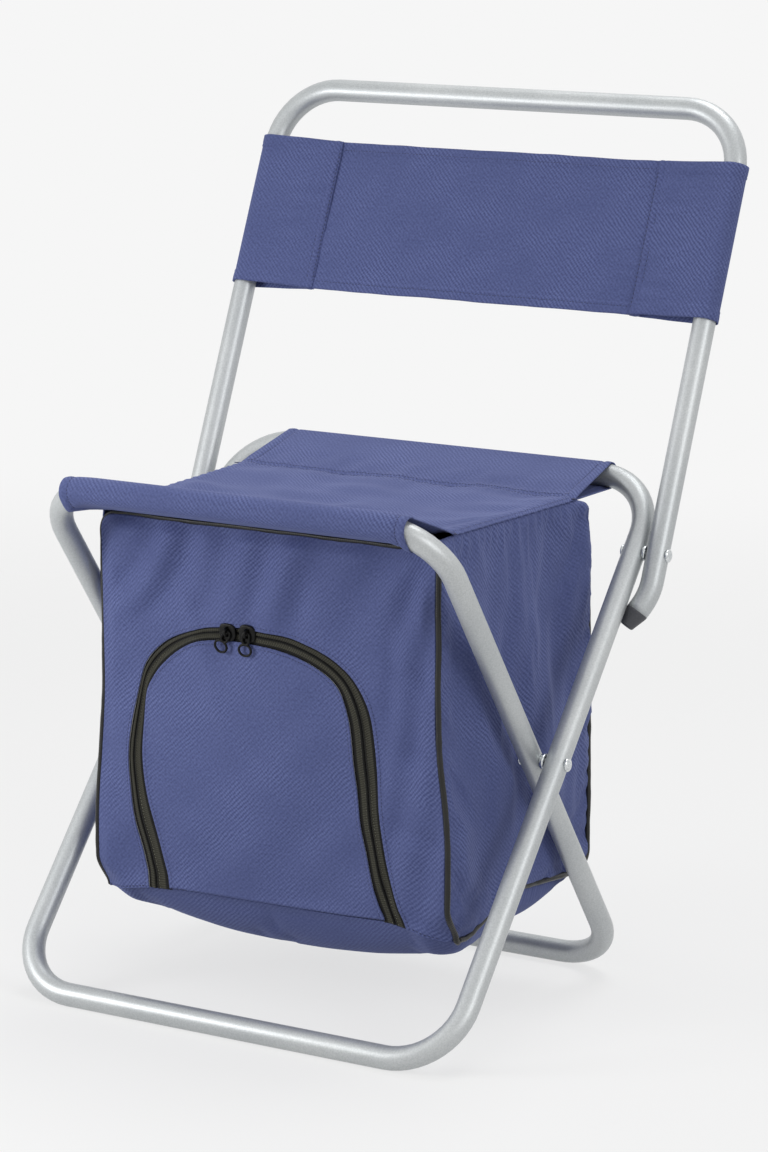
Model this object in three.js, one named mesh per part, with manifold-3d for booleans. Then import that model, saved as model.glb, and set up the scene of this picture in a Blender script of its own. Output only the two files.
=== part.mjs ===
// Folding cooler stool: two crossed steel leg frames, a riveted U-shaped backrest, a cloth seat and, hung below
// the seat, an insulated bag whose front opens with an arched zip. Millimetres, X right, Y back, Z up. The origin
// is on the floor under the middle of the whole stool, and the front of the stool faces -Y.

import * as THREE from 'three';
import { mergeVertices } from 'three/addons/utils/BufferGeometryUtils.js';
import Module from 'manifold-3d';

const wasm = await Module();
wasm.setup();

// Steel tube
const tube_diameter = 16;
const tube_wall = 1;
const bend_radius = 45;

// Leg frames: each is a closed loop of tube, seen from the side as one bar of the X
const leg_frame_width = 353;
const leg_span = 290;
const leg_rise = 348;
const leg_gap = 3;

// Backrest
const back_gap = 2;
const back_rivet_share = 0.87;
const back_lean_deg = 68.5;
const back_length = 320;
const tail_start = 18;
const tail_bend_deg = 26;
const tail_turn_deg = 14;
const cover_height = 113;
const cover_drop = 40;
const cover_seam_inset = 53;

// Rivets, washers and end caps
const rivet_diameter = 5;
const rivet_head_diameter = 9.4;
const rivet_head_height = 2;
const rivet_tail_height = 1.6;
const rivet_dimple_diameter = 2.6;
const rivet_dimple_depth = 0.8;
const washer_diameter = 11;
const cap_length = 13;
const cap_stem_length = 6;
const cap_tip_diameter = 10.4;
const cap_corner = 1.5;

// Cloth, foam and foil
const cloth = 1;
const foam = 3;
const foil = 0.5;
const clearance = 0.3;

// Seat and bag
const sleeve_half_length = 131;
const sleeve_sag_share = 0.5;
const fork_seam = 3;
const bag_width = 270;
const bag_height = 262;
const bag_setback = 46.5;
const bag_rear_setback = 37.5;
const bag_drop = 19;
const bag_tilt_deg = 3;
const bag_corner = 14;
const piping_diameter = 4;

// Zip arch in the front of the bag
const arch_centre = -10.5;
const arch_half_width = 86.5;
const arch_height = 189;
const arch_top_radius = 140;
const arch_shoulder_radius = 48;
const arch_drift = 18;
const tape_width = 8;
const tape_thickness = 0.8;
const tooth_gap = 0.4;
const edge_overlap = 2;

// Zip sliders and their wire pulls
const slider_length = 10;
const slider_width = 8;
const slider_thickness = 1.4;
const slider_corner = 2;
const slider_spacing = 16.4;
const slider_offset = -17.5;
const pull_wire = 1.4;
const pull_neck_width = 6.5;
const pull_ring_width = 10.8;
const pull_ring_height = 9;
const pull_length = 20;
const pull_left_hang_deg = 36;
const pull_right_hang_deg = 5.5;
const bridge_bar = 1.2;

// Counts and the overrun of every cut
const tube_sides = 16;
const bore_sides = 10;
const bend_steps = 6;
const round_steps = 16;
const small_sides = 8;
const cut_overrun = 2;

// Values that follow from the sizes above
const tube_radius = tube_diameter / 2;
const tube_reach = tube_radius / Math.cos(Math.PI / tube_sides);
const bore_radius = tube_radius - tube_wall;
const bore_clear = bore_radius * Math.cos(Math.PI / bore_sides);
const sleeve_bore = tube_reach + clearance;
const sleeve_radius = sleeve_bore + cloth;
const outer_half = leg_frame_width / 2 - tube_radius;
const inner_half = outer_half - tube_diameter - leg_gap;
const back_half = outer_half + tube_diameter + back_gap;
const leg_length = Math.hypot(leg_span, leg_rise);
const back_lean = THREE.MathUtils.degToRad(back_lean_deg);
const rivet_ahead = (back_rivet_share - 1 / 2) * leg_span;
const back_reach = rivet_ahead + back_length * Math.cos(back_lean) + tube_reach;
const front_reach = leg_span / 2 + sleeve_radius / Math.cos(Math.PI / round_steps);
const pivot_y = (front_reach - back_reach) / 2;
const pivot_z = tube_radius + leg_rise / 2;
const front_y = pivot_y - leg_span / 2;
const rear_y = pivot_y + leg_span / 2;
const rail_z = tube_radius + leg_rise;
const bag_depth = leg_span - bag_setback - bag_rear_setback;
const rivet_y = pivot_y + rivet_ahead;
const rivet_z = tube_radius + back_rivet_share * leg_rise;
const bag_tilt = THREE.MathUtils.degToRad(bag_tilt_deg);
const bag_half = bag_width / 2;
const bag_y = front_y + bag_setback;
const bag_z = rail_z - bag_drop;
const piping_radius = piping_diameter / 2;

// Finishes
const paint = { color: 0xb5bcbc, roughness: 0.42, metalness: 0.35 };
const zinc = { color: 0xc9cccd, roughness: 0.3, metalness: 1 };
const grey_plastic = { color: 0x4a4a4e, roughness: 0.6, metalness: 0 };
const blue_cloth = { color: 0x566092, roughness: 0.9, metalness: 0 };
const black_trim = { color: 0x24241f, roughness: 0.6, metalness: 0 };
const black_metal = { color: 0x1d1d1b, roughness: 0.4, metalness: 0.5 };
const white_foam = { color: 0xe8e8e2, roughness: 0.95, metalness: 0 };
const silver_foil = { color: 0xc4c8cc, roughness: 0.3, metalness: 0.9 };

const stool = new THREE.Group();

// Adds one named piece to a group.
function piece(name, geometry, finish, group = stool) {
  const mesh = new THREE.Mesh(geometry, new THREE.MeshStandardMaterial(finish));
  mesh.name = name;
  group.add(mesh);
  return mesh;
}

// A closed three.js geometry as a solid that can be joined and cut.
function solid(geometry) {
  const bare = geometry.clone();
  bare.deleteAttribute('normal');
  bare.deleteAttribute('uv');
  const merged = mergeVertices(bare);
  const vertProperties = new Float32Array(merged.attributes.position.array);
  const triVerts = new Uint32Array(merged.index.array);
  return new wasm.Manifold(new wasm.Mesh({ numProp: 3, vertProperties, triVerts }));
}

// The three.js geometry of a solid.
function shape_of(body) {
  const mesh = body.getMesh();
  const geometry = new THREE.BufferGeometry();
  geometry.setAttribute('position', new THREE.BufferAttribute(new Float32Array(mesh.vertProperties), 3));
  geometry.setIndex(new THREE.BufferAttribute(new Uint32Array(mesh.triVerts), 1));
  return geometry;
}

function cut(geometry, ...tools) {
  let body = solid(geometry);
  for (const tool of tools) {
    body = body.subtract(solid(tool));
  }
  return shape_of(body);
}

function join(geometry, ...others) {
  let body = solid(geometry);
  for (const other of others) {
    body = body.add(solid(other));
  }
  return shape_of(body);
}

// A skin over a row of rings of points, capped at both ends unless the row closes on itself.
function skin(rings, closed) {
  const count = rings[0].length;
  const points = rings.flat();
  const faces = [];
  const spans = closed ? rings.length : rings.length - 1;
  for (let i = 0; i < spans; i += 1) {
    const here = i * count;
    const next = ((i + 1) % rings.length) * count;
    for (let j = 0; j < count; j += 1) {
      const k = (j + 1) % count;
      faces.push(here + j, here + k, next + k, here + j, next + k, next + j);
    }
  }
  const last = (rings.length - 1) * count;
  for (let j = 1; j < count - 1 && !closed; j += 1) {
    faces.push(0, j + 1, j);
    faces.push(last, last + j, last + j + 1);
  }
  const geometry = new THREE.BufferGeometry().setFromPoints(points);
  geometry.setIndex(faces);
  return geometry;
}

// A ring of points round a station of a tube: side and up are its two cross directions.
function ring(station, radius, sides, turn) {
  const points = [];
  for (let k = 0; k < sides; k += 1) {
    const angle = turn + ((k + 1 / 2) * 2 * Math.PI) / sides;
    const point = station.point.clone();
    point.addScaledVector(station.side, radius * Math.cos(angle));
    point.addScaledVector(station.up, radius * Math.sin(angle));
    points.push(point);
  }
  return points.reverse();
}

function tube_skin(stations, radius, sides, turn, closed) {
  return skin(stations.map((station) => ring(station, radius, sides, turn)), closed);
}

// A round bar along X from one place to another, used as a drill.
function drill_x(from, to, y, z, radius) {
  const bar = new THREE.CylinderGeometry(radius, radius, to - from, tube_sides);
  bar.rotateZ(Math.PI / 2);
  bar.translate((from + to) / 2, y, z);
  return bar;
}

// The drills for one rivet's holes in both walls of the left and right tubes of a frame.
function rivet_drills(half, y, z) {
  const reach = tube_radius + cut_overrun;
  const radius = rivet_diameter / 2 + clearance;
  return [-1, 1].map((hand) => drill_x(hand * half - reach, hand * half + reach, y, z, radius));
}

// A closed loop of tube with four bends, rising from its floor bar along a slanted direction. A flat of its
// many-sided section faces straight down at the floor bar.
function loop_stations(half, floor_y, slant) {
  const rise = new THREE.Vector3(0, slant * leg_span, leg_rise).normalize();
  const across = new THREE.Vector3(1, 0, 0);
  const up = new THREE.Vector3().crossVectors(across, rise);
  const stations = [];
  const corners = [[1, 0], [1, 1], [-1, 1], [-1, 0]];
  corners.forEach(([hand, high], corner) => {
    const x = hand * (half - bend_radius);
    const s = high ? leg_length - bend_radius : bend_radius;
    for (let k = 0; k <= bend_steps; k += 1) {
      const angle = (corner - 1 + k / bend_steps) * (Math.PI / 2);
      const side = across.clone().multiplyScalar(Math.cos(angle));
      side.addScaledVector(rise, Math.sin(angle));
      const point = new THREE.Vector3(x, floor_y, tube_radius);
      point.addScaledVector(rise, s);
      point.addScaledVector(side, bend_radius);
      stations.push({ point, side, up });
    }
  });
  const down = new THREE.Vector3(0, 0, -1);
  const turn = Math.atan2(down.dot(up), -down.dot(rise));
  return { stations, turn };
}

// A rounded steel loop with the holes that its rivets pass through.
function leg_frame(half, floor_y, slant, holes) {
  const { stations, turn } = loop_stations(half, floor_y, slant);
  const outside = tube_skin(stations, tube_reach, tube_sides, turn, true);
  const inside = tube_skin(stations, bore_radius, bore_sides, turn, true);
  return cut(outside, inside, ...holes);
}

const pivot_drills_outer = rivet_drills(outer_half, pivot_y, pivot_z);
const pivot_drills_inner = rivet_drills(inner_half, pivot_y, pivot_z);
const back_drills_outer = rivet_drills(outer_half, rivet_y, rivet_z);
const back_drills_back = rivet_drills(back_half, rivet_y, rivet_z);

const outer_holes = [...pivot_drills_outer, ...back_drills_outer];
piece('outer_leg_frame', leg_frame(outer_half, front_y, 1, outer_holes), paint);
piece('inner_leg_frame', leg_frame(inner_half, rear_y, -1, pivot_drills_inner), paint);

// Backrest tube: a U whose two tails bend in behind the outer legs, where their end caps stop it
const back_rise = new THREE.Vector3(0, Math.cos(back_lean), Math.sin(back_lean));
const back_front = new THREE.Vector3(0, -Math.sin(back_lean), Math.cos(back_lean));
const tail_bend = THREE.MathUtils.degToRad(tail_bend_deg);
const tail_turn = THREE.MathUtils.degToRad(tail_turn_deg);

// One tail on the left (-1) or right (1): its stations from the bend down to the cut end of the tube.
function tail(hand) {
  const down = back_rise.clone().negate();
  const inward = new THREE.Vector3(-hand * Math.cos(tail_turn), 0, 0);
  inward.addScaledVector(back_front, Math.sin(tail_turn));
  const start = new THREE.Vector3(hand * back_half, rivet_y, rivet_z).addScaledVector(down, tail_start);
  const steps = bend_steps / 2;
  const stations = [];
  for (let k = 0; k <= steps; k += 1) {
    const angle = (tail_bend * k) / steps;
    const point = start.clone().addScaledVector(down, bend_radius * Math.sin(angle));
    point.addScaledVector(inward, bend_radius * (1 - Math.cos(angle)));
    const along = down.clone().multiplyScalar(Math.cos(angle)).addScaledVector(inward, Math.sin(angle));
    stations.push({ point, along });
  }
  const bent = stations[steps];
  const leg = new THREE.Vector3(0, leg_span, leg_rise).normalize();
  const foot = new THREE.Vector3(hand * outer_half, front_y, tube_radius);
  const from_leg = bent.point.clone().sub(foot);
  from_leg.addScaledVector(leg, -from_leg.dot(leg));
  const drift = bent.along.clone().addScaledVector(leg, -bent.along.dot(leg));
  const apart = 2 * tube_reach + clearance;
  const half_b = from_leg.dot(drift) / drift.dot(drift);
  const rest = (from_leg.dot(from_leg) - apart * apart) / drift.dot(drift);
  const straight = -half_b - Math.sqrt(Math.max(half_b * half_b - rest, 0));
  const end = bent.point.clone().addScaledVector(bent.along, Math.max(straight, clearance));
  stations.push({ point: end, along: bent.along });
  return stations;
}

function back_stations() {
  const stations = [];
  const add = (point, along) => {
    const up = back_front.clone().addScaledVector(along, -back_front.dot(along)).normalize();
    const side = new THREE.Vector3().crossVectors(along, up);
    stations.push({ point, side, up });
  };
  for (const { point, along } of tail(1).reverse()) {
    add(point, along.clone().negate());
  }
  for (const hand of [1, -1]) {
    for (let k = 0; k <= bend_steps; k += 1) {
      const angle = ((hand === 1 ? 0 : 1) + k / bend_steps) * (Math.PI / 2);
      const point = new THREE.Vector3(hand * (back_half - bend_radius), rivet_y, rivet_z);
      point.addScaledVector(back_rise, back_length - bend_radius + bend_radius * Math.sin(angle));
      point.x += bend_radius * Math.cos(angle);
      const along = back_rise.clone().multiplyScalar(Math.cos(angle));
      along.x -= Math.sin(angle);
      add(point, along);
    }
  }
  for (const { point, along } of tail(-1)) {
    add(point, along);
  }
  return stations;
}

// The same stations with both ends moved on, so that a bore cut along them opens the tube's ends.
function run_on(stations) {
  const ends = [stations[0], stations[stations.length - 1]];
  const seconds = [stations[1], stations[stations.length - 2]];
  const longer = ends.map((end, i) => {
    const away = end.point.clone().sub(seconds[i].point).setLength(cut_overrun);
    return { ...end, point: end.point.clone().add(away) };
  });
  return [longer[0], ...stations.slice(1, -1), longer[1]];
}

const back_path = back_stations();
const back_outside = tube_skin(back_path, tube_reach, tube_sides, 0, false);
const back_inside = tube_skin(run_on(back_path), bore_radius, bore_sides, 0, false);
piece('backrest_frame', cut(back_outside, back_inside, ...back_drills_back), paint);

// Rivets and washers
// A rivet along X with a domed, dimpled head outside and a flatter head inside, for one hand.
function rivet(hand, outer_x, inner_x, y, z) {
  const shank = rivet_diameter / 2;
  const head = rivet_head_diameter / 2;
  const dimple = rivet_dimple_diameter / 2;
  const outside = outer_x + clearance;
  const inside = inner_x - clearance;
  const profile = [new THREE.Vector2(0, inside - rivet_tail_height)];
  const dome_steps = small_sides / 2;
  for (let k = dome_steps; k >= 0; k -= 1) {
    const angle = (k / dome_steps) * (Math.PI / 2);
    const r = head * Math.cos(angle);
    if (r > dimple) {
      profile.push(new THREE.Vector2(r, inside - rivet_tail_height * Math.sin(angle)));
    }
  }
  profile.push(new THREE.Vector2(shank, inside));
  profile.push(new THREE.Vector2(shank, outside));
  for (let k = 0; k <= dome_steps; k += 1) {
    const angle = (k / dome_steps) * (Math.PI / 2);
    const r = head * Math.cos(angle);
    if (r > dimple) {
      profile.push(new THREE.Vector2(r, outside + rivet_head_height * Math.sin(angle)));
    }
  }
  profile.push(new THREE.Vector2(dimple, outside + rivet_head_height));
  profile.push(new THREE.Vector2(dimple, outside + rivet_head_height - rivet_dimple_depth));
  profile.push(new THREE.Vector2(0, outside + rivet_head_height - rivet_dimple_depth));
  const body = new THREE.LatheGeometry(profile, tube_sides);
  body.rotateZ(-hand * (Math.PI / 2));
  body.translate(0, y, z);
  return body;
}

// A flat washer in the gap between two tubes.
function washer(hand, low_x, high_x, y, z) {
  const outer = washer_diameter / 2;
  const inner = rivet_diameter / 2 + clearance;
  const low = low_x + clearance;
  const high = high_x - clearance;
  const profile = [[inner, low], [outer, low], [outer, high], [inner, high], [inner, low]];
  const points = profile.map(([r, x]) => new THREE.Vector2(r, x));
  const body = new THREE.LatheGeometry(points, tube_sides);
  body.rotateZ(-hand * (Math.PI / 2));
  body.translate(0, y, z);
  return body;
}

// The plug in the end of a tail: a stem in the bore, then a tapered end hollowed where it meets the leg.
function end_cap(hand) {
  const stations = tail(hand);
  const end = stations[stations.length - 1];
  const stem = bore_clear - clearance;
  const tip = cap_tip_diameter / 2;
  const profile = [
    [0, -cap_stem_length], [stem, -cap_stem_length], [stem, clearance], [tube_radius, clearance],
    [tip, cap_length - cap_corner], [tip - cap_corner, cap_length], [0, cap_length],
  ];
  const points = profile.map(([r, s]) => new THREE.Vector2(r, s));
  const body = new THREE.LatheGeometry(points, tube_sides);
  const turn = new THREE.Quaternion().setFromUnitVectors(new THREE.Vector3(0, 1, 0), end.along);
  body.applyQuaternion(turn);
  body.translate(end.point.x, end.point.y, end.point.z);
  const leg = new THREE.CylinderGeometry(tube_reach + clearance, tube_reach + clearance, leg_length, 2 * tube_sides);
  leg.rotateX(Math.atan2(leg_rise, leg_span));
  leg.translate(hand * outer_half, pivot_y, pivot_z);
  return cut(body, leg);
}

for (const [side_name, hand] of [['left', -1], ['right', 1]]) {
  const outer_out = outer_half + tube_reach;
  const outer_in = outer_half - tube_reach;
  const inner_out = inner_half + tube_reach;
  const inner_in = inner_half - tube_reach;
  const back_out = back_half + tube_reach;
  const back_in = back_half - tube_reach;
  piece(`leg_pivot_rivet_${side_name}`, rivet(hand, outer_out, inner_in, pivot_y, pivot_z), zinc);
  piece(`leg_pivot_washer_${side_name}`, washer(hand, inner_out, outer_in, pivot_y, pivot_z), zinc);
  piece(`backrest_rivet_${side_name}`, rivet(hand, back_out, outer_in, rivet_y, rivet_z), zinc);
  piece(`backrest_washer_${side_name}`, washer(hand, outer_out, back_in, rivet_y, rivet_z), zinc);
  piece(`backrest_end_cap_${side_name}`, end_cap(hand), grey_plastic);
}

// Backrest cover: one band of cloth with a pocket round each side tube, drawn across and extruded up the tubes
function cover() {
  const seam = back_half - cover_seam_inset;
  const pocket = new THREE.Shape();
  const middle = cloth / 2;
  const outline = (radius, apex) => {
    const points = [];
    const touch = Math.acos(radius / (back_half - apex));
    for (let k = 0; k <= round_steps; k += 1) {
      const angle = Math.PI - touch - ((2 * Math.PI - 2 * touch) * k) / round_steps;
      points.push(new THREE.Vector2(back_half + radius * Math.cos(angle), radius * Math.sin(angle)));
    }
    return points;
  };
  const right = outline(sleeve_radius, seam);
  const left = right.map((p) => new THREE.Vector2(-p.x, p.y)).reverse();
  const top_seam = [new THREE.Vector2(-seam, middle), new THREE.Vector2(seam, middle)];
  const low_seam = [new THREE.Vector2(seam, -middle), new THREE.Vector2(-seam, -middle)];
  pocket.setFromPoints([...top_seam, ...right, ...low_seam, ...left].reverse());
  const bore = outline(sleeve_bore, seam + 2 * cloth);
  bore.push(new THREE.Vector2(seam + 2 * cloth, 0));
  pocket.holes.push(new THREE.Path(bore));
  pocket.holes.push(new THREE.Path(bore.map((p) => new THREE.Vector2(-p.x, p.y)).reverse()));
  const band = new THREE.ExtrudeGeometry(pocket, { depth: cover_height, bevelEnabled: false });
  const basis = new THREE.Matrix4();
  const cover_foot = back_length - cover_drop - cover_height;
  const base = new THREE.Vector3(0, rivet_y, rivet_z).addScaledVector(back_rise, cover_foot);
  const ahead = new THREE.Vector3().crossVectors(back_rise, new THREE.Vector3(1, 0, 0));
  basis.makeBasis(new THREE.Vector3(1, 0, 0), ahead, back_rise);
  basis.setPosition(base);
  band.applyMatrix4(basis);
  return band;
}
piece('backrest_cover', cover(), blue_cloth);

// Sleeves: cloth tubes round the two seat rails, deeper towards their ends, where the rail bends down inside them
// The solid bar that a sleeve of a given radius and half length fills on a rail.
function sleeve_bar(rail_half, y, slant, radius, end) {
  const toward_floor = new THREE.Vector3(0, -slant * leg_span, -leg_rise).normalize();
  const straight = rail_half - bend_radius;
  const reach = radius / Math.cos(Math.PI / round_steps);
  const fall = (bend, past) => bend - Math.sqrt(bend * bend - past * past);
  const section = (x) => {
    const points = [];
    const past = Math.max(Math.abs(x) - straight, 0);
    const low = fall(bend_radius - tube_reach, past) + Math.min(past, clearance);
    const high = sleeve_sag_share * fall(bend_radius + tube_reach, past);
    for (let k = 0; k < round_steps; k += 1) {
      const angle = (2 * Math.PI * k) / round_steps;
      const out = new THREE.Vector3(0, Math.cos(angle), Math.sin(angle));
      const point = new THREE.Vector3(x, y, rail_z).addScaledVector(out, reach);
      point.addScaledVector(toward_floor, out.dot(toward_floor) > 0 ? low : high);
      points.push(point);
    }
    return points;
  };
  const xs = [Math.min(straight, end)];
  for (let k = 1; k <= bend_steps && end > straight; k += 1) {
    xs.push(straight + ((end - straight) * k) / bend_steps);
  }
  return skin([...xs.map((x) => -x).reverse(), ...xs].map(section), false);
}

function sleeve(rail_half, y, slant) {
  const outside = sleeve_bar(rail_half, y, slant, sleeve_radius, sleeve_half_length);
  const inside = sleeve_bar(rail_half, y, slant, sleeve_bore, sleeve_half_length + cut_overrun);
  return cut(outside, inside);
}
piece('front_rail_sleeve', sleeve(inner_half, front_y, -1), blue_cloth);
piece('rear_rail_sleeve', sleeve(outer_half, rear_y, 1), blue_cloth);

// The bag's frame: its own group, tilted a little, with its origin at the middle of its top front edge
const bag = new THREE.Group();
bag.rotation.x = bag_tilt;
bag.position.set(0, bag_y, bag_z);
stool.add(bag);

// A point given in the bag's frame, as world Y and Z.
function bag_point(y, z) {
  const world_y = bag_y + y * Math.cos(bag_tilt) - z * Math.sin(bag_tilt);
  const world_z = bag_z + y * Math.sin(bag_tilt) + z * Math.cos(bag_tilt);
  return new THREE.Vector2(world_y, world_z);
}

// The points where straight cloth from an edge touches a sleeve, above (1) or below (-1).
function touch_point(edge, rail, radius, above, ahead) {
  const to_edge = edge.clone().sub(rail);
  const spread = Math.acos(radius / to_edge.length());
  const angle = to_edge.angle() - above * ahead * spread;
  return new THREE.Vector2(rail.x + radius * Math.cos(angle), rail.y + radius * Math.sin(angle));
}

// Both layers of cloth between a rail's sleeve and the bag's edge: a fork that opens towards the rail.
function fork(edge_top, edge_middle, edge_low, rail, ahead) {
  const near = (sleeve_radius + clearance) / Math.cos(Math.PI / round_steps);
  const far = near + cloth;
  const apex = edge_middle.clone().add(rail.clone().sub(edge_middle).setLength(fork_seam));
  return [
    edge_top,
    touch_point(edge_top, rail, far, 1, ahead),
    touch_point(edge_top, rail, near, 1, ahead),
    apex,
    touch_point(edge_low, rail, near, -1, ahead),
    touch_point(edge_low, rail, far, -1, ahead),
    edge_low,
  ];
}

// A flat outline in Y and Z carried across the seat's width, hollowed where it meets a rail's sleeve.
function across_seat(points, rail_half, y, slant) {
  const shape = new THREE.Shape(points.map((p) => new THREE.Vector2(-p.y, p.x)));
  const body = new THREE.ExtrudeGeometry(shape, { depth: bag_width, bevelEnabled: false });
  body.rotateY(Math.PI / 2);
  body.translate(-bag_half, 0, 0);
  return cut(body, sleeve_bar(rail_half, y, slant, sleeve_radius + clearance, bag_half + cut_overrun));
}

const front_rail = new THREE.Vector2(front_y, rail_z);
const rear_rail = new THREE.Vector2(rear_y, rail_z);
const seat_front = fork(
  bag_point(0, cloth), bag_point(0, cloth / 2), bag_point(0, 0), front_rail, -1,
);
const seat_outline = [bag_point(bag_depth, cloth), ...seat_front, bag_point(bag_depth, 0)];
piece('seat_panel', across_seat(seat_outline, inner_half, front_y, -1), blue_cloth);
const strip_edge = bag_depth + clearance;
const strip = fork(
  bag_point(strip_edge, cloth), bag_point(strip_edge, cloth / 2), bag_point(strip_edge, 0), rear_rail, 1,
);
piece('seat_rear_strip', across_seat(strip, outer_half, rear_y, 1), blue_cloth);

// Bag walls: places of the cloth, foam and foil, measured in from the bag's outside
const wall_out = piping_radius - cloth / 2;
const wall_in = piping_radius + cloth / 2;
const foam_out = wall_in + clearance;
const foam_in = foam_out + foam;
const foil_out = foam_in + clearance;
const foil_in = foil_out + foil;
const past_piping = piping_diameter + clearance;
const floor_z = -bag_height;
const panel_half = bag_half - past_piping;

// A block between two corners, in the bag's frame.
function block(x0, x1, y0, y1, z0, z1) {
  const body = new THREE.BoxGeometry(x1 - x0, y1 - y0, z1 - z0);
  body.translate((x0 + x1) / 2, (y0 + y1) / 2, (z0 + z1) / 2);
  return body;
}

// An outline in X and Z carried back from one depth to another, in the bag's frame.
function upright(points, y0, y1) {
  const shape = new THREE.Shape(points);
  const body = new THREE.ExtrudeGeometry(shape, { depth: y1 - y0, bevelEnabled: false });
  body.rotateX(Math.PI / 2);
  body.translate(0, y1, 0);
  return body;
}

// Zip arch: straight legs that drift sideways towards their feet, two shoulders and a wide top arc
const arch_top = floor_z + arch_height;
const arch_middle = arch_top - arch_top_radius;
const shoulder_run = arch_half_width - arch_shoulder_radius;
const shoulder_arm = arch_top_radius - arch_shoulder_radius;
const shoulder_rise = Math.sqrt(shoulder_arm * shoulder_arm - shoulder_run * shoulder_run);
const shoulder_z = arch_middle + shoulder_rise;
const shoulder_angle = Math.atan2(shoulder_rise, shoulder_run);
const arch_steps = 6;

// The arch from its left foot to its right foot, grown or shrunk by an offset, down to a given height.
function arch(offset, foot_z) {
  const points = [];
  const add_arc = (x, z, radius, from, to) => {
    for (let k = 0; k <= arch_steps; k += 1) {
      const angle = from + ((to - from) * k) / arch_steps;
      points.push(new THREE.Vector2(arch_centre + x + radius * Math.cos(angle), z + radius * Math.sin(angle)));
    }
  };
  const shoulder = arch_shoulder_radius + offset;
  const foot_drift = (arch_drift * (shoulder_z - foot_z)) / (shoulder_z - floor_z);
  const foot_half = arch_half_width + offset;
  points.push(new THREE.Vector2(arch_centre + foot_drift - foot_half, foot_z));
  add_arc(-shoulder_run, shoulder_z, shoulder, Math.PI, Math.PI - shoulder_angle);
  points.pop();
  add_arc(0, arch_middle, arch_top_radius + offset, Math.PI - shoulder_angle, shoulder_angle);
  points.pop();
  add_arc(shoulder_run, shoulder_z, shoulder, shoulder_angle, 0);
  points.push(new THREE.Vector2(arch_centre + foot_drift + foot_half, foot_z));
  return points;
}

// A panel of the bag's front with rounded top corners and the zip's mouth cut out of it.
function front_outline(half, top, foot_z, corner, mouth) {
  const points = [new THREE.Vector2(-half, foot_z)];
  for (const [hand, start] of [[-1, Math.PI], [1, Math.PI / 2]]) {
    for (let k = 0; k <= bend_steps; k += 1) {
      const angle = start - ((Math.PI / 2) * k) / bend_steps;
      const x = hand * (half - corner) + corner * Math.cos(angle);
      points.push(new THREE.Vector2(x, top - corner + corner * Math.sin(angle)));
    }
  }
  points.push(new THREE.Vector2(half, foot_z));
  return [...points, ...arch(mouth, foot_z).reverse()];
}

const front_foot = floor_z + foam_out;
const front_top = -past_piping - clearance;
const panel_corner = bag_corner - past_piping;
const front_panel = front_outline(panel_half, front_top, front_foot, panel_corner, edge_overlap);
piece('bag_front_panel', upright(front_panel, wall_out, wall_in), blue_cloth, bag);
piece('bag_flap', upright(arch(-edge_overlap, front_foot), wall_out, wall_in), blue_cloth, bag);

// The lower rear corner of the bag, seen from its side: a quarter turn at an inset from the bag's outside.
function rear_corner(inset) {
  const points = [];
  const radius = bag_corner - inset;
  for (let k = 0; k <= bend_steps; k += 1) {
    const angle = (k / bend_steps - 1) * (Math.PI / 2);
    const y = bag_depth - bag_corner + radius * Math.cos(angle);
    points.push(new THREE.Vector2(y, floor_z + bag_corner + radius * Math.sin(angle)));
  }
  return points;
}

// An outline in Y and Z carried across from one X to another, in the bag's frame.
function sideways(points, x0, x1) {
  const body = new THREE.ExtrudeGeometry(new THREE.Shape(points), { depth: x1 - x0, bevelEnabled: false });
  const basis = new THREE.Matrix4();
  basis.makeBasis(new THREE.Vector3(0, 1, 0), new THREE.Vector3(0, 0, 1), new THREE.Vector3(1, 0, 0));
  body.applyMatrix4(basis);
  body.translate(x0, 0, 0);
  return body;
}

const bottom_z = floor_z + wall_out;
const bottom_outline = [
  new THREE.Vector2(foam_out, bottom_z), ...rear_corner(wall_out),
  ...rear_corner(wall_in).reverse(), new THREE.Vector2(foam_out, bottom_z + cloth),
];
piece('bag_bottom_panel', sideways(bottom_outline, -panel_half, panel_half), blue_cloth, bag);
const back_y = bag_depth - wall_in;
const back_foot = floor_z + bag_corner + clearance;
const back_block = block(-panel_half, panel_half, back_y, back_y + cloth, back_foot, -clearance);
piece('bag_back_panel', back_block, blue_cloth, bag);

const side_outline = [
  new THREE.Vector2(past_piping, floor_z + past_piping), ...rear_corner(past_piping),
  new THREE.Vector2(bag_depth - past_piping, -clearance), new THREE.Vector2(past_piping, -clearance),
];
for (const [side_name, hand] of [['left', -1], ['right', 1]]) {
  const wall_xs = [hand * (bag_half - wall_out), hand * (bag_half - wall_in)].sort((p, q) => p - q);
  piece(`bag_side_panel_${side_name}`, sideways(side_outline, ...wall_xs), blue_cloth, bag);
  const foam_xs = [hand * (bag_half - foam_out), hand * (bag_half - foam_in)].sort((p, q) => p - q);
  piece(`insulation_${side_name}`, sideways(side_outline, ...foam_xs), white_foam, bag);
}

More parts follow.
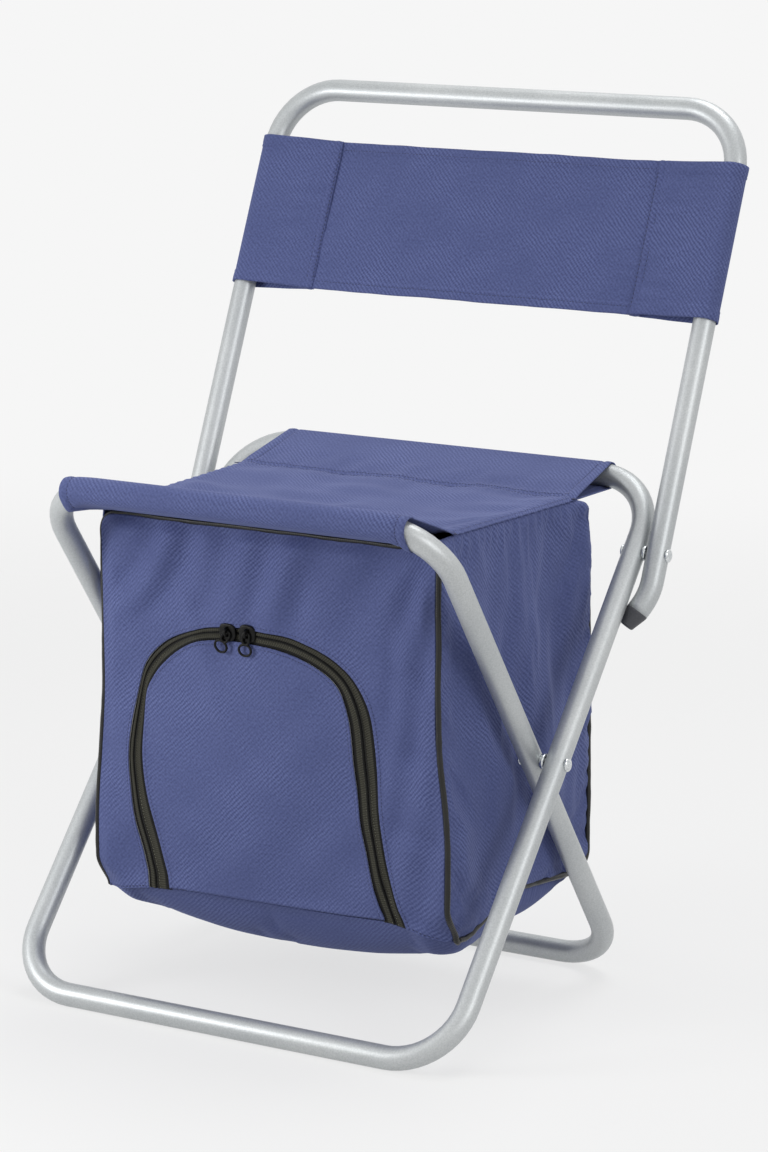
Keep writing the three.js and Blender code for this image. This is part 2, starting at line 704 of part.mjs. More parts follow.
// Insulation boards: front and back stand between the sides, bottom and top lie between all four
const board_half = bag_half - foil_out;
const board_foot = floor_z + foam_out;
const board_corner = panel_corner - (panel_half - board_half);
const front_board = front_outline(board_half, front_top, board_foot, board_corner, edge_overlap);
piece('insulation_front', upright(front_board, foam_out, foam_in), white_foam, bag);
piece('insulation_flap', upright(arch(-edge_overlap, board_foot), foam_out, foam_in), white_foam, bag);
const back_foam_y = bag_depth - foam_in;
const back_board = block(-board_half, board_half, back_foam_y, back_foam_y + foam, back_foot, -clearance);
piece('insulation_back', back_board, white_foam, bag);
const inner_front = foil_out;
const inner_rear = bag_depth - foil_out;
const low_rear = bag_depth - bag_corner;
const low_board = block(-board_half, board_half, inner_front, low_rear, board_foot, board_foot + foam);
piece('insulation_bottom', low_board, white_foam, bag);
const top_board = block(-board_half, board_half, inner_front, inner_rear, -clearance - foam, -clearance);
piece('insulation_top', top_board, white_foam, bag);

// Foil liner: a thin box inside the boards, open at the zip's mouth
const liner_half = board_half;
const liner_low = floor_z + foil_out;
const liner_top = -2 * clearance - foam;
const liner_out = block(-liner_half, liner_half, inner_front, inner_rear, liner_low, liner_top);
const liner_space = block(
  foil - liner_half, liner_half - foil, inner_front + foil, inner_rear - foil, liner_low + foil, liner_top - foil,
);
const mouth_foot = liner_low + foil + clearance;
const mouth_cut = upright(arch(edge_overlap, mouth_foot), inner_front - foil, inner_front + 2 * foil);
piece('foil_liner', cut(liner_out, liner_space, mouth_cut), silver_foil, bag);
const flap_foil_foot = mouth_foot + clearance;
const flap_foil = upright(arch(-edge_overlap, flap_foil_foot), inner_front, inner_front + foil);
piece('foil_flap', flap_foil, silver_foil, bag);

// Piping: a cord-filled welt round the front panel, and one along the bottom and rear of each side
function piping_station(x, y, z, side, up) {
  return { point: new THREE.Vector3(x, y, z), side, up };
}

function front_piping() {
  const x_axis = new THREE.Vector3(1, 0, 0);
  const y_axis = new THREE.Vector3(0, 1, 0);
  const z_axis = new THREE.Vector3(0, 0, 1);
  const x = bag_half - piping_radius;
  const top = -piping_radius - clearance;
  const corner = bag_corner - piping_radius;
  const stations = [piping_station(x, piping_radius, floor_z + past_piping, x_axis, y_axis)];
  for (const [hand, first] of [[1, 0], [-1, 1]]) {
    for (let k = 0; k <= bend_steps; k += 1) {
      const angle = (first + k / bend_steps) * (Math.PI / 2);
      const side = x_axis.clone().multiplyScalar(Math.cos(angle)).addScaledVector(z_axis, Math.sin(angle));
      const px = hand * (x - corner) + corner * Math.cos(angle);
      const pz = top - corner + corner * Math.sin(angle);
      stations.push(piping_station(px, piping_radius, pz, side, y_axis));
    }
  }
  const left = x_axis.clone().negate();
  stations.push(piping_station(-x, piping_radius, floor_z + past_piping, left, y_axis));
  return tube_skin(stations.reverse(), piping_radius, small_sides, 0, false);
}
piece('piping_front', front_piping(), black_trim, bag);

function side_piping(hand) {
  const x_axis = new THREE.Vector3(1, 0, 0);
  const y_axis = new THREE.Vector3(0, 1, 0);
  const z_axis = new THREE.Vector3(0, 0, 1);
  const x = hand * (bag_half - piping_radius);
  const corner = bag_corner - piping_radius;
  const low = floor_z + piping_radius;
  const rear = bag_depth - piping_radius;
  const stations = [piping_station(x, past_piping, low, z_axis.clone().negate(), x_axis)];
  for (let k = 0; k <= bend_steps; k += 1) {
    const angle = (k / bend_steps - 1) * (Math.PI / 2);
    const side = y_axis.clone().multiplyScalar(Math.cos(angle)).addScaledVector(z_axis, Math.sin(angle));
    const py = rear - corner + corner * Math.cos(angle);
    const pz = low + corner + corner * Math.sin(angle);
    stations.push(piping_station(x, py, pz, side, x_axis));
  }
  stations.push(piping_station(x, rear, -clearance, y_axis, x_axis));
  return tube_skin(stations, piping_radius, small_sides, 0, false);
}
piece('piping_side_left', side_piping(-1), black_trim, bag);
piece('piping_side_right', side_piping(1), black_trim, bag);

// Zip tapes: one sewn to the panel round the mouth, one to the flap
const tape_front = wall_out - clearance - tape_thickness;
const tape_back = wall_out - clearance;
function tape(near, far) {
  return upright([...arch(far, front_foot), ...arch(near, front_foot).reverse()], tape_front, tape_back);
}
piece('zip_tape_panel', tape(tooth_gap / 2, tape_width), black_trim, bag);
piece('zip_tape_flap', tape(-tape_width, -tooth_gap / 2), black_trim, bag);

// Sliders and pulls, each built round the slider's middle and swung to its place on the top arc
const plate_back = tape_front - clearance;
const plate_front = plate_back - slider_thickness;
const pull_back = plate_front - clearance;
const pull_front = pull_back - pull_wire;
const bar_back = pull_front - clearance;
const bar_front = bar_back - bridge_bar;
const neck_radius = pull_neck_width / 2;
const post_far = neck_radius + clearance + bridge_bar / 2;

// A stadium outline that hangs from a round end about the origin.
function stadium(radius, length) {
  const points = [];
  for (const [z, start] of [[0, 0], [-length, Math.PI]]) {
    for (let k = 0; k <= bend_steps; k += 1) {
      const angle = start + (Math.PI * k) / bend_steps;
      points.push(new THREE.Vector2(radius * Math.cos(angle), z + radius * Math.sin(angle)));
    }
  }
  return points;
}

function slider_body() {
  const half_l = slider_length / 2;
  const half_w = slider_width / 2;
  const c = slider_corner;
  const outline = [
    [-half_l, c - half_w], [-half_l, half_w - c], [c - half_l, half_w], [half_l - c, half_w],
    [half_l, half_w - c], [half_l, c - half_w], [half_l - c, -half_w], [c - half_l, -half_w],
  ];
  const plate = upright(outline.map(([x, z]) => new THREE.Vector2(x, z)), plate_front, plate_back);
  const half_bar = bridge_bar / 2;
  const post = (z) => block(-half_bar, half_bar, bar_front, plate_back, z - half_bar, z + half_bar);
  const bar = block(-half_bar, half_bar, bar_front, bar_back, -half_bar, post_far + half_bar);
  return join(plate, post(0), post(post_far), bar);
}

// An oval outline about a place below the origin.
function oval(half_width, half_height, z) {
  const points = [];
  for (let k = 0; k < round_steps; k += 1) {
    const angle = (2 * Math.PI * k) / round_steps;
    points.push(new THREE.Vector2(half_width * Math.cos(angle), z + half_height * Math.sin(angle)));
  }
  return points;
}

// A pull of bent wire: a neck with a long eye round the bridge's post, and a broader finger ring below it.
function pull_body(hang) {
  const half_width = pull_ring_width / 2;
  const half_height = pull_ring_height / 2;
  const ring_z = half_height - pull_length;
  const neck_end = pull_length - pull_ring_height - neck_radius + pull_wire;
  const eye_end = neck_end - pull_wire;
  const neck = upright(stadium(neck_radius, neck_end), pull_front, pull_back);
  const finger_ring = upright(oval(half_width, half_height, ring_z), pull_front, pull_back);
  const eye = upright(stadium(neck_radius - pull_wire, eye_end), pull_front - foil, pull_back + foil);
  const ring_hole = oval(half_width - pull_wire, half_height - pull_wire, ring_z);
  const finger_hole = upright(ring_hole, pull_front - foil, pull_back + foil);
  const body = cut(join(neck, finger_ring), eye, finger_hole);
  body.rotateY(hang);
  return body;
}

const slider_places = [
  ['left', slider_offset, pull_left_hang_deg],
  ['right', slider_offset + slider_spacing, pull_right_hang_deg],
];
for (const [side_name, offset, hang_deg] of slider_places) {
  const swing = Math.asin(offset / arch_top_radius);
  const holder = new THREE.Group();
  holder.rotation.y = swing;
  const holder_z = arch_middle + arch_top_radius * Math.cos(swing);
  holder.position.set(arch_centre + arch_top_radius * Math.sin(swing), 0, holder_z);
  bag.add(holder);
  piece(`zip_slider_${side_name}`, slider_body(), black_metal, holder);
  piece(`zip_pull_${side_name}`, pull_body(THREE.MathUtils.degToRad(hang_deg)), black_metal, holder);
}

export default stool;
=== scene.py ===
# %% [markdown]
# # A folding cooler stool
# The stool is two bent steel tube loops crossed like an X, a riveted U-shaped backrest, a cloth seat and an
# insulated bag that hangs below the seat. Its front opens with an arched zip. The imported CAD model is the
# frame: it gives the bodies that move and the sizes, and every visible surface is worked out again here
# with numpy. All shapes are in millimetres, X to the right, Y to the back, Z up, and are turned to metres
# in one place.

import math

import bmesh
import bpy
import numpy as np
from mathutils import Matrix


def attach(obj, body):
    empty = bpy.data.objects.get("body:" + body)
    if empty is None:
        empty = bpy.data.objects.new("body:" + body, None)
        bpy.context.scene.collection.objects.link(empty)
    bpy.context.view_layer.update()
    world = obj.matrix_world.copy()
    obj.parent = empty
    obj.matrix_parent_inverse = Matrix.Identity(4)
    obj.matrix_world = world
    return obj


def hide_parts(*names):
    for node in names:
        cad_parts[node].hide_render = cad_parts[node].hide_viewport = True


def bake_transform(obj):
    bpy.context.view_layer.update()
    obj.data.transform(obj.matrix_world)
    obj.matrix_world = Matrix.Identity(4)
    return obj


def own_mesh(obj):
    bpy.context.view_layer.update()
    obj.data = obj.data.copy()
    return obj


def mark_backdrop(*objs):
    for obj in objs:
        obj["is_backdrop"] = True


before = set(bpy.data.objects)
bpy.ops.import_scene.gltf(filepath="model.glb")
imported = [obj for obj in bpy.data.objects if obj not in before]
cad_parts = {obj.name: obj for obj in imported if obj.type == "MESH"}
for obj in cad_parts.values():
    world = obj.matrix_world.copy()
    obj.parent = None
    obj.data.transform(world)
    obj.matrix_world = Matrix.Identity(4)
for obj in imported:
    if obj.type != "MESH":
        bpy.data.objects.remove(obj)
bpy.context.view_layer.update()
print("CAD nodes:", len(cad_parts))

# %% [markdown]
# ## Sizes
# The main sizes repeat the CAD model's own: the tube is 16 mm, the legs cross half way up, the bag hangs 19
# mm below the rails and leans 3 degrees, so that its foot is a little further back than its top.

# %% Sizes
tube_radius = 8.0
tube_corner = 8.157
bend_radius = 45.0
leg_span = 290.0
leg_rise = 348.0
outer_half = 168.5
inner_half = 149.5
back_half = 186.5
pivot_y = -39.0476
pivot_z = 182.0
front_y = pivot_y - leg_span / 2
rear_y = pivot_y + leg_span / 2
rail_z = 356.0
leg_length = math.hypot(leg_span, leg_rise)
rivet_y = pivot_y + (0.87 - 0.5) * leg_span
rivet_z = tube_radius + 0.87 * leg_rise
back_lean = math.radians(68.5)
back_length = 320.0
back_rise = np.array([0.0, math.cos(back_lean), math.sin(back_lean)])
back_front = np.array([0.0, -math.sin(back_lean), math.cos(back_lean)])
bag_origin = np.array([0.0, front_y + 46.5, rail_z - 19.0])
bag_tilt = math.radians(3.0)
bag_back = np.array([0.0, math.cos(bag_tilt), math.sin(bag_tilt)])
bag_up = np.array([0.0, -math.sin(bag_tilt), math.cos(bag_tilt)])
bag_half = 135.0
bag_depth = 206.0
top_radius = 24.0
bag_height = 262.0
sleeve_half = 131.0
across = np.array([1.0, 0.0, 0.0])
print("rails at", front_y, rear_y, "leg length", round(leg_length, 1))

# %% [markdown]
# ## Camera
# The photograph was taken from the right front and a little above. A long lens, about 114 mm on a full
# frame, keeps the frame's tubes nearly parallel. The camera is built from its direction, its distance and a
# small roll.

# %% Camera
def aim_camera(azimuth, elevation, roll, distance, target, lens):
    """Puts the camera on a line from the target. Its axes come from two cross products, turned by the
    roll."""
    a, e, r = np.radians([azimuth, elevation, roll])
    backward = np.array([math.sin(a) * math.cos(e), -math.cos(a) * math.cos(e), math.sin(e)])
    right = np.cross(-backward, [0.0, 0.0, 1.0])
    right = right / np.linalg.norm(right)
    above = np.cross(right, -backward)
    turned = right * math.cos(r) + above * math.sin(r)
    raised = above * math.cos(r) - right * math.sin(r)
    place = np.array(target) + backward * distance
    data = bpy.data.cameras.new("camera")
    data.sensor_fit = "VERTICAL"
    data.sensor_height = 36.0
    data.lens = lens
    camera = bpy.data.objects.new("camera", data)
    bpy.context.scene.collection.objects.link(camera)
    matrix = np.eye(4)
    matrix[:3, 0] = turned
    matrix[:3, 1] = raised
    matrix[:3, 2] = backward
    matrix[:3, 3] = place * 0.001
    camera.matrix_world = Matrix(matrix.tolist())
    bpy.context.scene.camera = camera
    return camera


camera = aim_camera(29.24, 10.15, 1.54, 2530.3, (5.76, 8.44, 284.35), 3637.6 * 36.0 / 1152.0)
bpy.context.scene.view_settings.view_transform = "Standard"
print("camera at", [round(v, 3) for v in camera.location])

# %% [markdown]
# ## From arrays to meshes
# Every piece below is a grid of points: rows run along it and columns run across or round it. One function
# turns such a grid into a mesh, writes a map in millimetres of cloth if it gets one, and welds the points
# that meet, so that seams and poles are closed. A pattern that has to follow the cloth reads that map.

# %% Grid to mesh
def grid_faces(rows, columns):
    """The four corners of every cell of a grid whose points are numbered row by row."""
    first = np.arange(rows - 1)[:, None] * columns + np.arange(columns - 1)[None, :]
    return np.stack([first, first + 1, first + columns + 1, first + columns], axis=-1).reshape(-1, 4)


def mesh_of(name, points, faces, cloth_map=None):
    """Writes points in millimetres and four-cornered faces into a new mesh, in metres."""
    mesh = bpy.data.meshes.new(name)
    mesh.vertices.add(len(points))
    mesh.vertices.foreach_set("co", (points * 0.001).astype(np.float32).ravel())
    mesh.loops.add(faces.size)
    mesh.loops.foreach_set("vertex_index", faces.astype(np.int32).ravel())
    mesh.polygons.add(len(faces))
    mesh.polygons.foreach_set("loop_start", np.arange(0, faces.size, 4, dtype=np.int32))
    mesh.update(calc_edges=True)
    if cloth_map is not None:
        layer = mesh.uv_layers.new(name="cloth_mm")
        layer.data.foreach_set("uv", cloth_map[faces.ravel()].astype(np.float32).ravel())
    return mesh


def weld(mesh, apart=1e-6):
    """Merges points closer than this many metres, which closes seams and turns poles into triangles."""
    work = bmesh.new()
    work.from_mesh(mesh)
    bmesh.ops.remove_doubles(work, verts=work.verts, dist=apart)
    work.to_mesh(mesh)
    work.free()


def add_object(name, mesh, smooth=True):
    """Links a mesh as an object at the origin, with smooth faces."""
    mesh.polygons.foreach_set("use_smooth", np.full(len(mesh.polygons), smooth))
    mesh.update()
    piece = bpy.data.objects.new(name, mesh)
    bpy.context.scene.collection.objects.link(piece)
    return piece


def surface(name, grids, cloth_maps=None, flip=False, smooth=True):
    """One object from one or more grids of points with shape (rows, columns, 3), welded where they meet."""
    points = np.concatenate([g.reshape(-1, 3) for g in grids])
    starts = np.cumsum([0] + [g.shape[0] * g.shape[1] for g in grids])
    faces = np.concatenate([grid_faces(*g.shape[:2]) + s for g, s in zip(grids, starts)])
    if flip:
        faces = faces[:, ::-1]
    flat = None
    if cloth_maps is not None:
        flat = np.concatenate([m.reshape(-1, 2) for m in cloth_maps])
    mesh = mesh_of(name, points, faces, flat)
    weld(mesh)
    return add_object(name, mesh, smooth)


def thicken(piece, thickness, offset=0.0):
    """Gives a sheet its thickness in millimetres: offset 0 puts half on each side, -1 all of it inside."""
    wall = piece.modifiers.new("thickness", "SOLIDIFY")
    wall.thickness = thickness * 0.001
    wall.offset = offset
    wall.use_even_offset = False
    return piece


def finish(piece, material, body, *nodes, slot=None):
    """Gives a piece its material and the body it moves with, and hides the CAD nodes it stands for. The slot
    is not used."""
    piece.data.materials.clear()
    piece.data.materials.append(material)
    if body:
        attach(piece, body)
    if nodes:
        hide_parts(*nodes)
    return piece


print("grid cells of a 3 by 4 grid:", len(grid_faces(3, 4)))

# %% [markdown]
# ## Tubes, turned parts and a quiet kind of noise
# A tube is a circle carried along a path. At each point of the path two directions stand square to it, and
# the circle is drawn with them. A turned part such as a rivet is a profile spun round an axis. Cloth is
# never quite flat, so a sum of a few long waves in random directions gives it soft lumps that are the same
# on every run.

# %% Shape helpers
def smooth(t):
    """Eases from 0 to 1: three t squared minus two t cubed, with t held between 0 and 1."""
    t = np.clip(t, 0.0, 1.0)
    return t * t * (3.0 - 2.0 * t)


def hill(distance, width):
    """A soft bump or dent: e to the power of minus the square of distance over width."""
    return np.exp(-((distance / width) ** 2))


def travelled(line):
    """The length of a line from its start to each of its points."""
    return np.concatenate([[0.0], np.cumsum(np.linalg.norm(np.diff(line, axis=0), axis=1))])


def line_length(line):
    return float(np.linalg.norm(np.diff(line, axis=0), axis=1).sum())


def together(*values):
    """Arrays of one shape, side by side in a last axis."""
    return np.stack(np.broadcast_arrays(*values), axis=-1)


def waves(u, v, length, seed, count=7):
    """Soft lumps: the mean of cosines in random directions, whose wavelengths are 0.7 to 1.6 times the
    length."""
    chance = np.random.default_rng(seed)
    total = np.zeros(np.broadcast(u, v).shape)
    for _ in range(count):
        angle = chance.uniform(0.0, math.pi)
        k = 2.0 * math.pi / (length * chance.uniform(0.7, 1.6))
        phase = chance.uniform(0.0, 2.0 * math.pi)
        total += np.cos(k * (u * math.cos(angle) + v * math.sin(angle)) + phase)
    return total / math.sqrt(count)


def unit(vectors):
    """Vectors with their length made 1."""
    return vectors / np.maximum(np.linalg.norm(vectors, axis=-1, keepdims=True), 1e-12)


def displaced(grid, amount):
    """A grid moved along its own normals: the cross product of the steps across and the steps along."""
    normal = unit(np.cross(np.gradient(grid, axis=1), np.gradient(grid, axis=0)))
    return grid + normal * np.asarray(amount)[..., None], normal


def between(a, b, count):
    """Rows of points that run straight from one row to another, with neither end repeated."""
    t = np.linspace(0.0, 1.0, count + 2)[1:-1, None, None]
    return a[None] * (1.0 - t) + b[None] * t


def directions(path, closed):
    """The direction of travel at each point: the next point minus the one before it, made unit length."""
    if closed:
        step = np.roll(path, -1, axis=0) - np.roll(path, 1, axis=0)
    else:
        step = np.gradient(path, axis=0)
    return unit(step)


def tube(path, radius, above, sides=32, closed=False):
    """A circle carried along a path: centre + radius * (cos a * side + sin a * up), as a grid of rings.
    Open ends close with a ring of radius 0."""
    along = directions(path, closed)
    up = unit(above - along * np.sum(above * along, axis=-1, keepdims=True))
    side = np.cross(along, up)
    angle = np.linspace(0.0, 2.0 * math.pi, sides + 1)
    circle = np.cos(angle)[None, :, None] * side[:, None, :] + np.sin(angle)[None, :, None] * up[:, None, :]
    radii = np.broadcast_to(np.asarray(radius, float), (len(path),))[:, None, None]
    rings = path[:, None, :] + radii * circle
    if closed:
        return np.concatenate([rings, rings[:1]])
    first = np.broadcast_to(path[0], rings[:1].shape)
    last = np.broadcast_to(path[-1], rings[:1].shape)
    return np.concatenate([first, rings, last])


def turned(profile, centre, axis, sides=32):
    """A profile of (radius, height) pairs spun round an axis through a centre, as a grid of rings."""
    axis = unit(np.asarray(axis, float))
    helper = np.array([0.0, 0.0, 1.0]) if abs(axis[2]) < 0.9 else np.array([1.0, 0.0, 0.0])
    e1 = unit(np.cross(axis, helper))
    e2 = np.cross(axis, e1)
    angle = np.linspace(0.0, 2.0 * math.pi, sides + 1)[None, :, None]
    profile = np.asarray(profile, float)
    radius = profile[:, 0][:, None, None]
    height = profile[:, 1][:, None, None]
    return centre + height * axis + radius * (np.cos(angle) * e1 + np.sin(angle) * e2)


def spline(points, count):
    """A smooth curve through a row of points (Catmull and Rom's rule), resampled to even steps of length."""
    p = np.asarray(points, float)
    p = np.concatenate([[2 * p[0] - p[1]], p, [2 * p[-1] - p[-2]]])
    t = np.linspace(0.0, 1.0, 24, endpoint=False)[None, :, None]
    a, b, c, d = (p[i : len(p) - 3 + i][:, None, :] for i in range(4))
    run = 0.5 * (2 * b + (c - a) * t + (2 * a - 5 * b + 4 * c - d) * t**2 + (3 * b - a - 3 * c + d) * t**3)
    run = np.concatenate([run.reshape(-1, p.shape[1]), p[-2:-1]])
    return resample(run, count)


def resample(points, count):
    """The same line with its points moved to even steps of length."""
    length = travelled(points)
    wanted = np.linspace(0.0, length[-1], count)
    return np.stack([np.interp(wanted, length, points[:, i]) for i in range(points.shape[1])], axis=1)


print("a wave sample:", np.round(waves(np.arange(3.0), np.zeros(3), 40.0, 1), 3))

# %% [markdown]
# ## Materials
# Every finish is a Principled shader with procedural detail. Colours are written as they look on the screen
# and turned to linear light by one function. One function adds a node with its settings, its socket values
# and its links. Wall-like pieces read Object coordinates in metres. Cloth reads its own map in millimetres,
# so that the weave bends with it.

# %% Nodes and colours
def linear(hex_colour):
    """The linear colour of an sRGB hex value: below 0.04045 a straight line, above it a power of 2.4."""
    value = np.array([int(hex_colour[i : i + 2], 16) for i in (1, 3, 5)]) / 255.0
    low = value / 12.92
    high = ((value + 0.055) / 1.055) ** 2.4
    return (*np.where(value <= 0.04045, low, high).tolist(), 1.0)


def add_node(tree, kind, values=None, links=None, **settings):
    """Adds a node, sets its own properties, fills its sockets and joins (node, socket) pairs to its
    inputs."""
    made = tree.nodes.new(kind)
    for key, value in settings.items():
        setattr(made, key, value)
    for key, value in (values or {}).items():
        made.inputs[key].default_value = value
    for key, (source, socket) in (links or {}).items():
        tree.links.new(source.outputs[socket], made.inputs[key])
    return made


def new_material(name, **values):
    """A material with a Principled shader, whose sockets are named with their spaces as underscores."""
    material = bpy.data.materials.new(name)
    material.use_nodes = True
    shader = material.node_tree.nodes["Principled BSDF"]
    for key, value in values.items():
        shader.inputs[key.replace("_", " ")].default_value = value
    return material, material.node_tree, shader


def object_place(tree):
    """The point on the piece in metres, the same at every pose, because each piece's origin is the
    stool's."""
    return add_node(tree, "ShaderNodeTexCoord"), "Object"


def cloth_place(tree):
    """The point on the cloth in millimetres of its own threads."""
    return add_node(tree, "ShaderNodeUVMap", uv_map="cloth_mm"), "UV"


def noise(tree, place, scale, detail):
    """Soft noise with lumps about one over the scale across, in the units of the place."""
    return add_node(tree, "ShaderNodeTexNoise", {"Scale": scale, "Detail": detail}, {"Vector": place}), "Fac"


def bands(tree, place, width, direction, **values):
    """Sine bands of a width. At scale 1 the node's bands are 0.3142 wide, and its diagonal ones 0.4443."""
    scale = (0.4443 if direction == "DIAGONAL" else 0.3142) / width
    made = add_node(
        tree, "ShaderNodeTexWave", {"Scale": scale, **values}, {"Vector": place},
        wave_type="BANDS", bands_direction=direction, wave_profile="SIN",
    )
    return made, "Fac"


def maths(tree, operation, *terms):
    """One sum of numbers and outputs: a number fills its socket and an output is linked to it."""
    values = {i: term for i, term in enumerate(terms) if isinstance(term, float)}
    links = {i: term for i, term in enumerate(terms) if isinstance(term, tuple)}
    return add_node(tree, "ShaderNodeMath", values, links, operation=operation), "Value"


def spaced(tree, source, low, high, **values):
    """A grey value spread between two others."""
    made = add_node(tree, "ShaderNodeMapRange", {"To Min": low, "To Max": high, **values}, {"Value": source})
    return made, "Result"


def times(tree, one, other):
    """Two colours multiplied."""
    links = {"A": one, "B": other}
    made = add_node(tree, "ShaderNodeMix", {"Factor": 1.0}, links, data_type="RGBA", blend_type="MULTIPLY")
    return made, "Result"


def bumped(tree, height, strength, distance):
    """A normal from a height; the distance is in metres."""
    values = {"Strength": strength, "Distance": distance}
    return add_node(tree, "ShaderNodeBump", values, {"Height": height}), "Normal"


def feed(tree, shader, **sources):
    """Joins (node, socket) pairs to the shader's sockets, which are named with their spaces as
    underscores."""
    for key, (source, socket) in sources.items():
        tree.links.new(source.outputs[socket], shader.inputs[key.replace("_", " ")])


def ramp(tree, source, stops):
    """A colour ramp over a grey value, from (place, hex colour) stops."""
    made = add_node(tree, "ShaderNodeValToRGB", links={"Fac": source})
    elements = made.color_ramp.elements
    elements[0].position, elements[0].color = stops[0][0], linear(stops[0][1])
    elements[1].position, elements[1].color = stops[-1][0], linear(stops[-1][1])
    for place, colour in stops[1:-1]:
        elements.new(place).color = linear(colour)
    return made, "Color"


print("mid grey in linear light:", round(linear("#808080")[0], 4))

# %% [markdown]
# ## Steel with a silver powder coat
# The tubes are mild steel with a silver polyester powder coat, baked at about 190 degrees. That gives a
# satin, not quite metallic grey with a very fine orange peel and small aluminium flakes. The peel's lumps
# are about 0.8 mm across on the real tube. They are drawn 1.6 mm across, because a pixel covers almost a
# millimetre here.

# %% Silver powder coat
def powder_coat():
    material, tree, shader = new_material("powder_coat_silver", Metallic=0.5, Roughness=0.42)
    place = object_place(tree)
    flakes = noise(tree, place, 900.0, 2.0)
    drift = noise(tree, place, 14.0, 2.0)
    grey = ramp(tree, flakes, [(0.3, "#bec2c2"), (0.5, "#c7cacb"), (0.7, "#cfd2d2")])
    tone = ramp(tree, drift, [(0.35, "#f2f3f4"), (0.65, "#ffffff")])
    peel = bumped(tree, noise(tree, place, 620.0, 1.0), 0.06, 0.0004)
    rough = spaced(tree, drift, 0.38, 0.48)
    feed(tree, shader, Base_Color=times(tree, grey, tone), Roughness=rough, Normal=peel)
    return material


silver = powder_coat()
print(silver.name)

# %% [markdown]
# ## Zinc-plated steel rivets and washers
# The rivets are headed cold and zinc plated: bright, slightly blue, with faint rings from the heading tool.
# The rings are drawn as fine noise in the roughness, and the plating keeps the metal's default refraction.

# %% Zinc plate
def zinc_plate():
    material, tree, shader = new_material("zinc_plate", Metallic=1.0)
    place = object_place(tree)
    marks = noise(tree, place, 700.0, 3.0)
    grey = ramp(tree, marks, [(0.3, "#b9bdbf"), (0.7, "#dfe2e3")])
    rings = bumped(tree, marks, 0.15, 0.0002)
    feed(tree, shader, Base_Color=grey, Roughness=spaced(tree, marks, 0.16, 0.34), Normal=rings)
    return material


zinc = zinc_plate()
print(zinc.name)

# %% [markdown]
# ## Moulded polyethylene end caps
# The caps are injection moulded in a dark grey polyethylene. The mould was spark eroded, which leaves a
# fine matt grain of about 0.1 mm. It is drawn at 1 mm, the finest that shows here.

# %% Moulded grey plastic
def moulded_plastic():
    material, tree, shader = new_material("polyethylene_dark_grey", Roughness=0.55, IOR=1.51)
    place = object_place(tree)
    grain = noise(tree, place, 1000.0, 2.0)
    grey = ramp(tree, grain, [(0.3, "#434449"), (0.7, "#505156")])
    feed(tree, shader, Base_Color=grey, Normal=bumped(tree, grain, 0.25, 0.0002))
    return material


plastic = moulded_plastic()
print(plastic.name)

# %% [markdown]
# ## Blue polyester cloth
# The seat, the cover and the bag are cut from one coated polyester cloth of about 600 denier. Its yarns
# float over each other in steps, which draws ridges from top left to bottom right, 1.7 mm apart, and each
# ridge is broken where a yarn dives under the next. The ridges are drawn 2.45 mm apart, so that the
# render's pixels can hold them. The ridge tops are painted lighter, as a painted highlight, and the gaps
# darker, as painted shade of a deep blue. A slow mottle stands for uneven dye and handling.

# %% Blue cloth
def polyester_cloth(name, stops, ridge_mm=2.45):
    material, tree, shader = new_material(
        name, Roughness=0.82, IOR=1.5, Sheen_Weight=0.22, Sheen_Roughness=0.45, Sheen_Tint=linear("#9aa4cf")
    )
    place = cloth_place(tree)
    wobble = noise(tree, place, 0.12, 2.0)[0], "Color"
    shift = add_node(tree, "ShaderNodeVectorMath", {1: (0.5, 0.5, 0.5)}, {0: wobble}, operation="SUBTRACT")
    links = {0: (shift, "Vector"), 2: place}
    bent = add_node(tree, "ShaderNodeVectorMath", {1: (2.6, 2.6, 0.0)}, links, operation="MULTIPLY_ADD")
    bent = bent, "Vector"
    crossing = add_node(tree, "ShaderNodeMapping", {"Rotation": (0.0, 0.0, math.pi / 2)}, {"Vector": bent})
    ridges = bands(tree, bent, ridge_mm, "DIAGONAL")
    breaks = bands(tree, (crossing, "Vector"), ridge_mm * 0.72, "DIAGONAL")
    woven = maths(tree, "MULTIPLY_ADD", ridges, 0.70, maths(tree, "MULTIPLY", breaks, 0.30))
    centred = maths(tree, "SUBTRACT", woven, 0.5)
    patches = noise(tree, place, 0.02, 4.0)
    strength = spaced(tree, patches, 0.18, 0.72, **{"From Min": 0.40, "From Max": 0.64})
    faded = maths(tree, "MULTIPLY", centred, strength)
    uneven = maths(tree, "MULTIPLY_ADD", noise(tree, place, 0.6, 3.0), 0.9, faded)
    height = maths(tree, "ADD", uneven, 0.05)
    tone = ramp(tree, noise(tree, place, 0.02, 3.0), [(0.3, "#eceef2"), (0.7, "#ffffff")])
    # Painted highlight on the ridge tops and painted shade in the gaps, from the ridges' height.
    colour = times(tree, ramp(tree, height, stops), tone)
    feed(tree, shader, Base_Color=colour, Normal=bumped(tree, height, 0.22, 0.0005))
    return material


# Its stops: painted shade in the gaps, the cloth's own blue, painted highlight on the ridge tops.
blue_cloth = polyester_cloth(
    "polyester_cloth_blue", [(0.10, "#3d4678"), (0.5, "#566092"), (0.9, "#6b77aa")]
)
print(blue_cloth.name)

# %% [markdown]
# ## Sewing thread
# The seams are sewn with a bonded polyester thread of about 0.5 mm, darker than the cloth. It has a slight
# gloss from the bonding, and its twist is drawn as small dark and light steps.

# %% Thread
def sewing_thread(name, dark, light):
    material, tree, shader = new_material(name, Roughness=0.6, IOR=1.5, Sheen_Weight=0.1)
    place = object_place(tree)
    feed(tree, shader, Base_Color=ramp(tree, noise(tree, place, 1200.0, 1.0), [(0.35, dark), (0.65, light)]))
    return material


dark_thread = sewing_thread("bonded_thread_navy", "#232a4f", "#3a4270")
pale_thread = sewing_thread("bonded_thread_sand", "#7d7c6c", "#a3a18e")
print(dark_thread.name, pale_thread.name)

